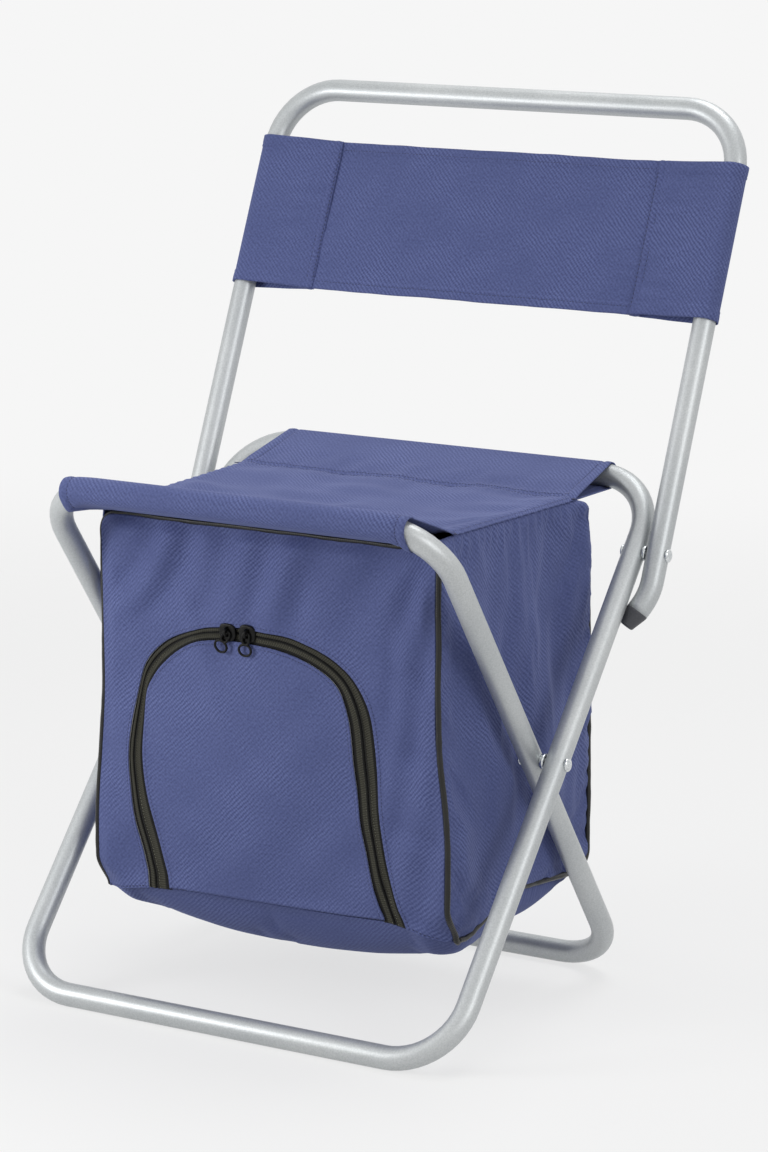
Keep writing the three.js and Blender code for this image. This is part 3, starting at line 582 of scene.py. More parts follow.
# %% [markdown]
# ## Black piping
# The piping is a cord wrapped in a black coated tape and sewn into the bag's seams. It is satin, and its
# wrap shows as fine ribs about 1 mm apart across the cord, which are drawn at 1.5 mm.

# %% Piping cover
def piping_tape():
    material, tree, shader = new_material(
        "coated_tape_black", Roughness=0.34, IOR=1.5, Specular_IOR_Level=0.38
    )
    place = cloth_place(tree)
    ribs = bands(tree, place, 1.5, "X", Distortion=0.6, Detail=1.0)
    black = ramp(tree, noise(tree, place, 0.05, 3.0), [(0.3, "#0f0f0d"), (0.7, "#1b1b18")])
    feed(tree, shader, Base_Color=black, Normal=bumped(tree, ribs, 0.3, 0.0003))
    return material


piping_black = piping_tape()
print(piping_black.name)

# %% [markdown]
# ## Zip tape and zip metal
# The zip is a nylon coil on a knitted polyester tape, dark olive grey, with painted shade drawn as black
# lines along the zip's middle and the tape's edges. The knit's loops cross the tape about 1.2 mm apart
# and are drawn at 1.6 mm. The sliders and pulls are zinc castings with a black enamel that is glossy on
# the edges.

# %% Zip finishes
def zip_knit():
    """The map runs in mm along the tape, and from 0 at the zip's middle to 10 at the tape's edge across
    it."""
    material, tree, shader = new_material(
        "knitted_tape_olive_grey", Roughness=0.85, IOR=1.5, Specular_IOR_Level=0.3, Sheen_Weight=0.05
    )
    place = cloth_place(tree)
    parts = add_node(tree, "ShaderNodeSeparateXYZ", {}, {"Vector": place})
    share = maths(tree, "MULTIPLY", (parts, "Y"), 0.1)
    # Painted shade: near black along the zip's middle and the tape's edges, olive grey between them.
    olive_and_painted_shade = [(0.0, "#080807"), (0.14, "#0b0b09"), (0.24, "#403f36"), (0.62, "#4b4a40"), (0.74, "#11110f")]
    olive_and_painted_shade = ramp(tree, share, [*olive_and_painted_shade, (1.0, "#080807")])
    loops = bands(tree, place, 1.6, "X", Distortion=1.0)
    tone = ramp(tree, loops, [(0.0, "#b5b5b2"), (1.0, "#ffffff")])
    feed(tree, shader, Base_Color=times(tree, olive_and_painted_shade, tone), Normal=bumped(tree, loops, 0.5, 0.0004))
    return material


def enamel_black():
    material, tree, shader = new_material(
        "enamelled_zinc_black", IOR=1.5, Specular_IOR_Level=0.15, Coat_Weight=0.03, Coat_Roughness=0.15
    )
    place = object_place(tree)
    chips = noise(tree, place, 500.0, 3.0)
    black = ramp(tree, chips, [(0.35, "#0a0a0a"), (0.6, "#131312"), (0.8, "#2a2a28")])
    feed(tree, shader, Base_Color=black, Roughness=spaced(tree, chips, 0.28, 0.5))
    return material


zip_tape = zip_knit()
zip_metal = enamel_black()
print(zip_tape.name, zip_metal.name)

# %% [markdown]
# ## Foam and foil
# The walls are stiffened with 3 mm of white closed-cell polyethylene foam, whose cells are about 0.5 mm and
# are drawn at 1.2 mm. The inside is lined with a polyester film that carries a thin layer of aluminium.
# Handling gives it sharp small creases, drawn as stretched cells in the bump.

# %% Foam and foil
def white_foam():
    material, tree, shader = new_material("polyethylene_foam_white", Roughness=0.9, IOR=1.5)
    place = object_place(tree)
    cells = add_node(tree, "ShaderNodeTexVoronoi", {"Scale": 830.0}, {"Vector": place}), "Distance"
    white = ramp(tree, cells, [(0.0, "#e9e9e4"), (0.8, "#d5d5ce")])
    feed(tree, shader, Base_Color=white, Normal=bumped(tree, cells, 0.4, 0.0004))
    return material


def aluminium_film():
    material, tree, shader = new_material("aluminium_film_creased", Metallic=1.0)
    place = object_place(tree)
    creases = add_node(
        tree, "ShaderNodeTexVoronoi", {"Scale": 55.0, "Randomness": 1.0}, {"Vector": place},
        feature="DISTANCE_TO_EDGE",
    )
    fine = noise(tree, place, 160.0, 4.0)
    height = maths(tree, "MULTIPLY_ADD", fine, 0.25, (creases, "Distance"))
    grey = ramp(tree, fine, [(0.3, "#b9bec3"), (0.7, "#d8dcdf")])
    relief = bumped(tree, height, 0.6, 0.002)
    feed(tree, shader, Base_Color=grey, Roughness=spaced(tree, fine, 0.2, 0.4), Normal=relief)
    return material


foam = white_foam()
foil = aluminium_film()
print(foam.name, foil.name)

# %% [markdown]
# ## Floor, background and light
# The studio is plain: a pale floor that fades into a pale background, and soft light from large lamps. The
# floor is a disc with a real diffuse surface, so it keeps the stool's shadow, and it fades away to the
# background's colour before its edge. To the camera and in reflections it is 74% of the background's own
# glow, so that it looks as pale as in the photograph. The background shows only to the camera and in
# reflections. The lamps are set so that a colour renders about as it is written.

# %% Stage
background = linear("#f6f6f6")


def studio_floor(radius=2.6):
    """A disc that turns from diffuse to see-through between 35% and 95% of its radius."""
    ring = np.linspace(0.0, radius * 1000.0, 24)
    angle = np.linspace(0.0, 2.0 * math.pi, 97)
    grid = ring[:, None, None] * np.stack([np.cos(angle), np.sin(angle), 0.0 * angle], axis=-1)[None]
    floor = surface("floor", [grid])
    material, tree, shader = new_material("floor_pale", Roughness=1.0, Specular_IOR_Level=0.0)
    path = add_node(tree, "ShaderNodeLightPath")
    seen = maths(tree, "MAXIMUM", (path, "Is Camera Ray"), (path, "Is Glossy Ray"))
    tints = {"A": linear("#c9c9c9"), "B": background}
    tint = add_node(tree, "ShaderNodeMix", tints, {"Factor": seen}, data_type="RGBA")
    feed(tree, shader, Base_Color=(tint, "Result"))
    glow = add_node(tree, "ShaderNodeEmission", {"Color": background, "Strength": 1.0})
    share = maths(tree, "MULTIPLY", seen, 0.74)
    links = {"Fac": share, 1: (shader, "BSDF"), 2: (glow, "Emission")}
    shown = add_node(tree, "ShaderNodeMixShader", {}, links)
    distance = add_node(tree, "ShaderNodeVectorMath", {}, {0: object_place(tree)}, operation="LENGTH")
    fade = add_node(
        tree, "ShaderNodeMapRange", {"From Min": 0.35 * radius, "From Max": 0.95 * radius},
        {"Value": (distance, "Value")}, interpolation_type="SMOOTHSTEP",
    )
    clear = add_node(tree, "ShaderNodeBsdfTransparent")
    links = {"Fac": (fade, "Result"), 1: (shown, "Shader"), 2: (clear, "BSDF")}
    mixed = add_node(tree, "ShaderNodeMixShader", {}, links)
    tree.links.new(mixed.outputs["Shader"], tree.nodes["Material Output"].inputs["Surface"])
    floor.data.materials.append(material)
    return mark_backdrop(floor)


def studio_world(strength):
    """Pale to the camera and in reflections, and a soft light of its own strength to everything else."""
    world = bpy.data.worlds.new("studio")
    bpy.context.scene.world = world
    world.use_nodes = True
    tree = world.node_tree
    tree.nodes.clear()
    path = add_node(tree, "ShaderNodeLightPath")
    either = maths(tree, "MAXIMUM", (path, "Is Camera Ray"), (path, "Is Transmission Ray"))
    seen = maths(tree, "MAXIMUM", either, (path, "Is Glossy Ray"))
    light = add_node(tree, "ShaderNodeBackground", {"Color": linear("#ffffff"), "Strength": strength})
    shown = add_node(tree, "ShaderNodeBackground", {"Color": background, "Strength": 1.0})
    links = {"Fac": seen, 1: (light, "Background"), 2: (shown, "Background")}
    mixed = add_node(tree, "ShaderNodeMixShader", {}, links)
    add_node(tree, "ShaderNodeOutputWorld", {}, {"Surface": (mixed, "Shader")})


def soft_lamp(name, place, aim, power, size):
    """A square lamp that looks at a point: its Z axis points away from the aim."""
    data = bpy.data.lights.new(name, "AREA")
    data.shape = "SQUARE"
    data.size = size
    data.energy = power
    lamp = bpy.data.objects.new(name, data)
    bpy.context.scene.collection.objects.link(lamp)
    back = unit(np.array(place) - np.array(aim))
    side = unit(np.cross([0.0, 0.0, 1.0], back))
    matrix = np.eye(4)
    matrix[:3, :3] = together(side, np.cross(back, side), back)
    matrix[:3, 3] = place
    lamp.matrix_world = Matrix(matrix.tolist())
    return lamp


studio_floor()
studio_world(0.40)
soft_lamp("key", (-0.7, -0.92, 0.46), (0.0, -0.1, 0.32), 5.2, 0.45)
soft_lamp("left", (-2.0, -1.75, 1.5), (0.0, -0.1, 0.3), 3.0, 0.9)
soft_lamp("fill", (2.5, -0.9, 1.5), (0.0, 0.0, 0.3), 17.0, 1.2)
soft_lamp("top", (0.1, 0.8, 2.8), (0.0, 0.0, 0.3), 29.0, 1.4)

# %% [markdown]
# ## The two leg loops
# Each leg frame is one 16 mm tube bent into a closed loop with four 45 mm bends, so its two legs, its floor
# bar and its seat rail are one piece. It could be a curve with a bevel, but the loop is short to work out:
# four quarter circles at the corners of a slanted rectangle, joined by straight runs, with a circle carried
# along.

# %% Leg loops
def loop_path(half, floor_y, slant, steps=14):
    """Quarter circles at the corners of a rectangle that rises along a slanted line: corner centre plus
    radius times (cos a across, sin a up the slant)."""
    rise = unit(np.array([0.0, slant * leg_span, leg_rise]))
    corners = np.array([[1, 0], [1, 1], [-1, 1], [-1, 0]], float)
    angle = (np.arange(4)[:, None] - 1 + np.linspace(0.0, 1.0, steps)[None, :]) * (math.pi / 2)
    x = corners[:, :1] * (half - bend_radius) + bend_radius * np.cos(angle)
    s = bend_radius + corners[:, 1:] * (leg_length - 2 * bend_radius) + bend_radius * np.sin(angle)
    foot = np.array([0.0, floor_y, tube_radius])
    path = foot + x[..., None] * across + s[..., None] * rise
    return path.reshape(-1, 3), rise


def leg_loop(name, half, floor_y, slant, body, node):
    path, rise = loop_path(half, floor_y, slant)
    grid = tube(path, tube_radius, np.cross(across, rise), sides=40, closed=True)
    return finish(surface(name, [grid]), silver, body, node, slot="frame_paint")


outer_loop = leg_loop("outer_leg_loop", outer_half, front_y, 1.0, "outer_frame", "outer_leg_frame")
leg_loop("inner_leg_loop", inner_half, rear_y, -1.0, "inner_frame", "inner_leg_frame")
print("loop faces:", len(outer_loop.data.polygons))

# %% [markdown]
# ## The backrest tube
# The backrest is a U of the same tube, riveted outside the legs. Below its rivets each tail bends inwards
# and comes to rest behind the leg, which is what stops the backrest when someone leans on it. The straight
# part of the tail ends where it would touch the leg: that length is the root of a quadratic, since the leg
# is a cylinder.

# %% Backrest tube
def square_to_leg(points, along, hand):
    """The parts of points and of a direction that stand square to the outer leg's axis."""
    leg = unit(np.array([0.0, leg_span, leg_rise]))
    away = points - np.array([hand * outer_half, front_y, tube_radius])
    return away - (away @ leg)[..., None] * leg, along - leg * np.dot(along, leg)


def tail_path(hand, steps=9):
    """From the rivet down: a straight run, a bend of 26 degrees inwards and a run that ends at the leg, where
    the two axes are 0.3 mm and two tube_corner apart: the corners of the CAD model's 16-sided tube."""
    down = -back_rise
    turn = math.radians(14.0)
    inward = np.array([-hand * math.cos(turn), 0.0, 0.0]) + back_front * math.sin(turn)
    start = np.array([hand * back_half, rivet_y, rivet_z]) + 18.0 * down
    angle = np.linspace(0.0, math.radians(26.0), steps)[:, None]
    bend = start + bend_radius * (np.sin(angle) * down + (1 - np.cos(angle)) * inward)
    along = np.cos(angle[-1]) * down + np.sin(angle[-1]) * inward
    away, drift = square_to_leg(bend[-1], along, hand)
    b = np.dot(away, drift) / np.dot(drift, drift)
    c = (np.dot(away, away) - (2 * tube_corner + 0.3) ** 2) / np.dot(drift, drift)
    run = max(-b - math.sqrt(max(b * b - c, 0.0)), 0.3)
    return np.concatenate([bend, [bend[-1] + along * run]]), along


def back_path(steps=14):
    """Right tail, right side, top and left side of the U in one line."""
    right = tail_path(1)[0][::-1]
    left = tail_path(-1)[0]
    base = np.array([0.0, rivet_y, rivet_z])
    angle = np.linspace(0.0, math.pi / 2, steps)
    x = back_half - bend_radius + bend_radius * np.cos(angle)
    s = back_length - bend_radius + bend_radius * np.sin(angle)
    top_right = base + x[:, None] * across + s[:, None] * back_rise
    top_left = (base - x[:, None] * across + s[:, None] * back_rise)[::-1]
    return np.concatenate([right, top_right, top_left, left])


back_tube = surface("backrest_tube", [tube(back_path(), tube_radius, back_front, sides=40)])
finish(back_tube, silver, "backrest", "backrest_frame", slot="frame_paint")
print("backrest top:", round(rivet_z + back_length * back_rise[2], 1), "mm")

# %% [markdown]
# ## End caps
# A dark plug closes each tail. It tapers, and the leg's round back has pressed a hollow into its tip. The
# profile is spun first, and the points that fall inside the leg are slid back along the plug until they lie
# on the leg.

# %% End caps
def end_cap(hand):
    path, along = tail_path(hand)
    end = path[-1]
    corner = np.linspace(0.0, math.pi / 2, 7)
    tip = together(5.2 - 1.8 + 1.8 * np.cos(corner), 11.2 + 1.8 * np.sin(corner))
    collar = [[0.0, -3.0], [6.5, -3.0], [6.5, -0.3], [7.7, -0.3], [8.0, 0.1], [8.0, 1.0]]
    taper = together(np.linspace(7.9, 5.2, 10), np.linspace(1.6, 11.2, 10))
    face = together(np.linspace(3.4, 0.0, 6)[1:], np.full(5, 13.0))
    grid = turned(np.concatenate([collar, taper, tip[1:], face]), end, along, sides=36)
    away, drift = square_to_leg(grid, along, hand)
    b = (away @ drift) / np.dot(drift, drift)
    c = (np.sum(away * away, axis=-1) - (tube_radius + 0.25) ** 2) / np.dot(drift, drift)
    inside = c < 0.0
    back = np.where(inside, b + np.sqrt(np.maximum(b * b - c, 0.0)), 0.0)
    grid = grid - back[..., None] * along
    side = "right" if hand > 0 else "left"
    cap = surface(f"end_cap_{side}", [grid])
    return finish(cap, plastic, "backrest", f"backrest_end_cap_{side}", slot="cap_plastic")


caps = [end_cap(hand) for hand in (-1, 1)]
print("cap faces:", len(caps[0].data.polygons))

# %% [markdown]
# ## Rivets and washers
# Four tubular rivets carry the joints. Each has a low dome with a small dimple where the tool closed it,
# and a flatter head inside. Washers keep the tubes apart. All are spun profiles.

# %% Rivets and washers
def dome(radius, height, dimple, depth, steps=14):
    """A low dome from its rim to its middle: radius cos a, height sin a, with a rounded dimple at the top."""
    angle = np.linspace(0.0, math.pi / 2, steps)
    r = radius * np.cos(angle)
    h = height * np.sin(angle)
    return together(r, h - depth * (1.0 - smooth(r / dimple)))


def rivet(name, hand, outer_x, inner_x, y, z, body, node):
    head = dome(4.7, 2.0, 1.7, 0.8) + [0.0, outer_x]
    tail = (dome(4.5, 1.4, 1.5, 0.5) * [1.0, -1.0] + [0.0, inner_x])[::-1]
    shank = [[4.5, inner_x + 1.2], [2.5, inner_x + 1.2], [2.5, outer_x - 1.3], [4.7, outer_x - 1.3]]
    centre = np.array([0.0, y, z])
    grid = turned(np.concatenate([tail, shank, head]), centre, across * hand, sides=36)
    return finish(surface(name, [grid]), zinc, body, node, slot="rivet_zinc")


def washer(name, hand, low, high, y, z, body, node):
    rim = 0.25
    profile = [
        [2.7, low], [5.5 - rim, low], [5.5, low + rim], [5.5, high - rim], [5.5 - rim, high], [2.7, high],
        [2.7, low],
    ]
    grid = turned(profile, np.array([0.0, y, z]), across * hand, sides=36)
    return finish(surface(name, [grid]), zinc, body, node, slot="rivet_zinc")


wall_off = tube_radius + 0.1
for side, hand in (("left", -1), ("right", 1)):
    for name, outer_x, inner_x, y, z, body in (
        ("leg_pivot_rivet", outer_half, inner_half, pivot_y, pivot_z, "outer_frame"),
        ("backrest_rivet", back_half, outer_half, rivet_y, rivet_z, "backrest"),
    ):
        node = f"{name}_{side}"
        rivet(f"{node}_head", hand, outer_x + wall_off, inner_x - wall_off, y, z, body, node)
    for name, low, high, y, z, body in (
        ("leg_pivot_washer", 157.4, 160.6, pivot_y, pivot_z, "outer_frame"),
        ("backrest_washer", 176.4, 178.6, rivet_y, rivet_z, "backrest"),
    ):
        washer(f"{name}_{side}_ring", hand, low, high, y, z, body, f"{name}_{side}")
print("rivets and washers:", 8)

# %% [markdown]
# ## Stitches
# A seam is only believable with its stitches. One stitch is a small capsule a little longer than it is
# thick, laid along the seam and sunk into the cloth. All stitches of a row are made at once from arrays: a
# capsule's points times the row's places and directions.

# %% Stitch rows
def stitch_grids(line, normal, pitch=2.3, length=1.5, thick=0.55, lift=0.0):
    """Capsules along a line: place + along * l + (cos a * side + sin a * normal) * r, stacked as one
    array."""
    reach = line_length(line)
    count = max(int(reach / pitch), 2)
    both = resample_with(line, normal, count)
    place, up = both[:, :3], unit(both[:, 3:])
    along = directions(place, False)
    side = np.cross(along, up)
    l = np.array([-0.5, -0.42, 0.0, 0.42, 0.5]) * length
    r = np.array([0.0, 0.75, 1.0, 0.75, 0.0]) * thick / 2
    a = np.linspace(0.0, 2.0 * math.pi, 7)
    body = l[None, :, None, None] * along[:, None, None, :]
    ring = np.cos(a)[:, None] * side[:, None, None, :] + np.sin(a)[:, None] * up[:, None, None, :]
    return (place + lift * up)[:, None, None, :] + body + r[None, :, None, None] * ring


def resample_with(line, normal, count):
    """Points and normals of a line at even steps of its length, side by side."""
    run = travelled(line)
    wanted = (np.arange(count) + 0.5) / count * run[-1]
    both = np.concatenate([line, normal], axis=1)
    return np.stack([np.interp(wanted, run, both[:, i]) for i in range(6)], axis=1)


def stitch_piece(name, stacks, thread, body=None):
    """One object from stacks of capsules: the same cells are repeated for every capsule."""
    stack = np.concatenate(stacks)
    rows, columns = stack.shape[1:3]
    starts = np.arange(len(stack))[:, None, None] * rows * columns
    faces = (grid_faces(rows, columns)[None] + starts).reshape(-1, 4)
    mesh = mesh_of(name, stack.reshape(-1, 3), faces)
    weld(mesh)
    return finish(add_object(name, mesh), thread, body, slot="blue_cloth")


print("stitch rows are ready")

# %% [markdown]
# ## The backrest cover
# The cover is a middle panel with an end panel sewn to each side. Each end panel wraps round its tube and
# comes back to the same seam, where two rows of stitches hold three layers. The top and bottom edges are
# turned over and sewn. The middle panel is a grid with soft waves. An end panel is a line in plan, drawn
# from the seam round the tube and back, and carried up the tube.

# %% Backrest cover
cover_foot = 167.0
cover_height = 113.0
cover_half = 137.0
seam_rows = (129.4, 134.4)


def cover_point(x, n, s):
    """A point of the cover from its place across, its height off the tubes' plane and its place up the
    tubes."""
    base = np.array([0.0, rivet_y, rivet_z])
    x, n, s = np.broadcast_arrays(x, n, s)
    return base + x[..., None] * across + n[..., None] * back_front + s[..., None] * back_rise


def seam_relief(x):
    """Cloth stands up between the two rows of stitches and is drawn in along each row."""
    d = np.abs(x)
    ridge = 0.8 * hill(d - 131.9, 1.6)
    rows = 0.5 * hill(d - seam_rows[0], 0.8) + 0.5 * hill(d - seam_rows[1], 0.8)
    return ridge - rows


def hem_relief(s):
    """The turned-over edge is a second layer 8 mm deep at the foot and the top, drawn in along its
    stitches."""
    edge = np.minimum(s - cover_foot, cover_foot + cover_height - s)
    return 0.55 * (1.0 - smooth((edge - 7.4) / 1.2)) - 0.35 * hill(edge - 6.0, 0.6)


def cover_panel(rows=120, columns=300):
    x = np.linspace(-cover_half, cover_half, columns)[None, :]
    s = np.linspace(cover_foot, cover_foot + cover_height, rows)[:, None]
    near_seam = np.exp(-((np.abs(x) - 128.0) ** 2) / 120.0)
    soft = 0.9 * waves(x, s, 90.0, 11) + 0.35 * waves(x, s, 32.0, 12)
    soft = soft + 0.25 * near_seam * waves(x, s * 3.0, 30.0, 13)
    edge = smooth((cover_half - np.abs(x)) / 16.0)
    n = soft * (0.25 + 0.75 * edge) + hem_relief(s)
    grid = cover_point(x, n * smooth((cover_half - np.abs(x)) / 6.0), s)
    cloth_map = together(x, s)
    return grid, cloth_map


def pocket_line(points=150):
    """The end panel in plan: from the seam straight to the tube, round it and back to the seam."""
    radius = 8.75
    start = np.array([128.4, 1.1])
    reach = math.hypot(back_half - start[0], start[1])
    touch = math.pi - math.acos(radius / reach) - math.asin(start[1] / reach)
    angle = np.linspace(touch, -touch, 60)
    arc = together(back_half + radius * np.cos(angle), radius * np.sin(angle))
    run = np.concatenate([[start], arc, [start * [1.0, -1.0]]])
    return resample(run, points)


def cover_pocket(hand, rows=90):
    line = pocket_line()
    outward = np.gradient(line, axis=0)
    outward = unit(together(-outward[:, 1], outward[:, 0]))
    s = np.linspace(cover_foot, cover_foot + cover_height, rows)[:, None]
    t = travelled(line)[None, :]
    off_tube = smooth((back_half - 9.0 - line[:, 0]) / 26.0)[None, :]
    soft = off_tube * (0.8 * waves(t, s, 46.0, 21 + hand) + 0.3 * waves(t, s * 2.0, 26.0, 23 + hand))
    soft = soft * smooth((line[:, 0] - 129.0) / 8.0)[None, :]
    lift = np.maximum(soft, -0.5) + seam_relief(line[:, 0])[None, :] + hem_relief(s)
    x = line[:, 0][None, :] + lift * outward[:, 0][None, :]
    n = line[:, 1][None, :] + lift * outward[:, 1][None, :]
    grid = cover_point(hand * x, n, s)
    cloth_map = together(hand * (t + 128.4), s)
    return grid, cloth_map


panel_grid, panel_map = cover_panel()
cover_middle = surface("cover_middle_panel", [panel_grid], [panel_map])
thicken(cover_middle, 0.8)
finish(cover_middle, blue_cloth, "backrest", "backrest_cover", slot="blue_cloth")
pockets = []
for side, hand in (("left", -1), ("right", 1)):
    pocket_grid, pocket_map = cover_pocket(hand)
    pocket = surface(f"cover_end_panel_{side}", [pocket_grid], [pocket_map], flip=hand < 0)
    thicken(pocket, 0.8)
    finish(pocket, blue_cloth, "backrest", slot="blue_cloth")
    pockets.append(pocket)
print("cover pieces:", len(pockets) + 1)

# %% Cover stitches
def cover_stitches():
    s = np.linspace(cover_foot + 1.5, cover_foot + cover_height - 1.5, 60)
    stacks = []
    for hand in (-1, 1):
        for x in seam_rows:
            for face in (1, -1):
                line = cover_point(np.full(60, hand * x), np.full(60, face * 1.45), s)
                stacks.append(stitch_grids(line, np.broadcast_to(face * back_front, (60, 3)), 3.0, 1.9, 0.85))
    x = np.linspace(-127.0, 127.0, 240)
    for edge in (cover_foot + 6.0, cover_foot + cover_height - 6.0):
        soft = 0.9 * waves(x, edge, 90.0, 11) + 0.35 * waves(x, edge, 32.0, 12)
        from_end = cover_half - np.abs(x)
        n = soft * (0.25 + 0.75 * smooth(from_end / 16.0)) * smooth(from_end / 6.0)
        for face in (1, -1):
            line = cover_point(x, n + face * 0.45 + 0.2, np.full(240, edge))
            stacks.append(stitch_grids(line, np.broadcast_to(face * back_front, (240, 3)), lift=0.05))
    return stitch_piece("cover_stitches", stacks, dark_thread, "backrest")


cover_thread = cover_stitches()
print("cover stitch faces:", len(cover_thread.data.polygons))

# %% [markdown]
# ## Cloth that settles
# Sewn cloth is always cut a little larger than the hole it fills, and its slack falls into folds. Blender's
# cloth simulation makes those folds: a coarse copy of the grid is held along its edge, cut a few per cent
# too large, pushed outwards by the filling and left to come to rest. The moves of its points, with a cap,
# are then spread over the fine grid. This is done before a piece becomes a mesh, so no simulation is left
# on it. Each run prints how far its points moved. It moves the bag's strip by up to 13 mm and the sides by
# up to 21 mm before the cap. On the front panel and the flap it moves nothing, 0.0 mm, though it is asked
# to: their bulges and folds all come from the formulas below. Why it does nothing there was not found out.

# %% Cloth that settles
def spread(values, rows, columns, shape):
    """Values on chosen rows and columns of a grid, carried to all of it by straight steps, first down then
    across."""
    every_row, every_column = np.arange(shape[0]), np.arange(shape[1])
    low = np.clip(np.searchsorted(rows, every_row, side="right") - 1, 0, len(rows) - 2)
    share = ((every_row - rows[low]) / (rows[low + 1] - rows[low]))[:, None, None]
    down = values[low] * (1.0 - share) + values[low + 1] * share
    low = np.clip(np.searchsorted(columns, every_column, side="right") - 1, 0, len(columns) - 2)
    share = ((every_column - columns[low]) / (columns[low + 1] - columns[low]))[None, :, None]
    return down[:, low] * (1.0 - share) + down[:, low + 1] * share


def settle(grid, slack, push, cap, step=(3, 3), frames=24, weight=0.25):
    """The grid after it has settled. Its edge is held; slack is a share of its size; the cap is in
    millimetres."""
    rows = np.unique(np.append(np.arange(0, grid.shape[0], step[0]), grid.shape[0] - 1))
    columns = np.unique(np.append(np.arange(0, grid.shape[1], step[1]), grid.shape[1] - 1))
    coarse = grid[rows][:, columns]
    piece = add_object("settling", mesh_of("settling", coarse.reshape(-1, 3), grid_faces(*coarse.shape[:2])))
    edge = np.ones(coarse.shape[:2], bool)
    edge[1:-1, 1:-1] = False
    held = piece.vertex_groups.new(name="held")
    held.add(np.flatnonzero(edge.ravel()).tolist(), 1.0, "REPLACE")
    cloth = piece.modifiers.new("settle", "CLOTH")
    cloth.point_cache.frame_end = frames
    rules = cloth.settings
    rules.vertex_group_mass = "held"
    rules.quality = 8
    rules.mass = 0.2
    rules.tension_stiffness = 20.0
    rules.compression_stiffness = 20.0
    rules.shear_stiffness = 8.0
    rules.bending_stiffness = 0.6
    rules.shrink_min = -slack
    rules.effector_weights.gravity = weight
    rules.use_pressure = push != 0.0
    rules.uniform_pressure_force = push
    scene = bpy.context.scene
    for frame_number in range(1, frames + 1):
        scene.frame_set(frame_number)
    settled = piece.evaluated_get(bpy.context.evaluated_depsgraph_get())
    flat = np.empty(coarse.size, np.float32)
    settled.data.vertices.foreach_get("co", flat)
    move = flat.reshape(coarse.shape).astype(float) * 1000.0 - coarse
    scene.frame_set(1)
    bpy.data.objects.remove(piece)
    far = np.linalg.norm(move, axis=-1, keepdims=True)
    move = move * np.minimum(1.0, cap / np.maximum(far, 1e-6))
    print("settled", grid.shape[:2], "moved up to", round(float(far.max()), 2), "mm before the cap")
    return grid + spread(move, rows, columns, grid.shape)


print("a spread sample:", spread(np.ones((2, 2, 3)), np.array([0, 2]), np.array([0, 3]), (3, 4)).shape)

# %% [markdown]
# ## The seat cloth
# One long piece of cloth makes the seat. Its front end wraps round the front rail and comes back to the
# seam at the bag's front edge, and its rear end does the same at the rear rail. Where a rail starts to bend
# down inside its sleeve, the cloth below follows the tube but the cloth above is held straight, which opens
# a dark gap at each end. The piece is drawn as a line from seam to seam round both rails, and carried
# across the seat. When the stool folds, it would have to turn with both leg frames; here it is attached to
# neither. Its right front corner starts 22 mm behind the bag's front, and its rear seam lies 25 mm ahead
# of the bag's back.

# %% Seat shape
cloth_radius = 8.7
front_foot_marks = np.array([
    (-136.0, -11.5), (-130.0, -9.0), (-94.0, -1.8), (-57.0, 0.0), (-20.0, 0.5), (18.0, 1.2), (55.0, 2.2),
    (90.0, 3.7), (110.0, -0.4), (126.0, -6.4), (136.0, -7.0),
])
side_foot_marks = np.array([
    (0.0, -7.0), (18.0, -8.7), (33.0, -7.8), (46.0, -4.9), (75.0, 2.0), (108.0, 5.2), (138.0, 1.0),
    (173.0, -4.5), (206.0, -5.0),
])


def sagged(x, y, z):
    """Moves a point as the filled bag does: its foot seams wave, its left foot swings out, its lower front
    corners turn back, its right upper edge is drawn in by up to 7.5 mm, the corner there is raised by up to
    5 mm and its back moves out by up to 5 mm. Each move is an amount times shares that ease to nothing."""
    at_foot = smooth((-z - 205.0) / 57.0)
    by_front = np.exp(-np.maximum(y, 0.0) / 10.0)
    by_side = smooth((np.abs(x) - 95.0) / 40.0)
    front_dip = np.interp(x, front_foot_marks[:, 0], front_foot_marks[:, 1])
    side_dip = np.interp(y, side_foot_marks[:, 0], side_foot_marks[:, 1])
    dip = (front_dip * by_front + side_dip * by_side * (1.0 - by_front)) * at_foot
    corner = smooth(1.0 - np.hypot(np.maximum(bag_half - np.abs(x), 0.0), z + bag_height) / 23.0)
    turn_back = 13.0 * corner * (1.0 - smooth(y / 45.0))
    swing = smooth((-z - 110.0) / 120.0) * smooth(-x / bag_half) * (1.0 - smooth(y / 70.0))
    ahead = 1.0 - np.clip((y - 22.0) / (bag_depth - 32.0), 0.0, 1.0)
    right = smooth((x - 85.0) / 45.0) * smooth((z + 205.0) / 90.0) * ahead
    raised = smooth((x - 95.0) / 35.0) * smooth((z + 45.0) / 45.0) * ahead
    backed = 5.0 * smooth((y - 135.0) / 65.0) * smooth((-z - 4.0) / 40.0)
    return x - 6.5 * swing - 7.5 * right, y + turn_back - 2.0 * swing + backed, z + dip + 5.0 * raised


def bag_point(x, y, z):
    """A point in the bag's own tilted frame, whose origin is the middle of its top front edge."""
    x, y, z = np.broadcast_arrays(*sagged(*np.broadcast_arrays(x, y, z)))
    return bag_origin + x[..., None] * across + y[..., None] * bag_back + z[..., None] * bag_up


def fall(radius, past):
    """How far a bend of this radius has dropped: radius minus the root of radius squared less past
    squared."""
    radius = np.maximum(radius, past * 1.02)
    return radius - np.sqrt(radius**2 - past**2)


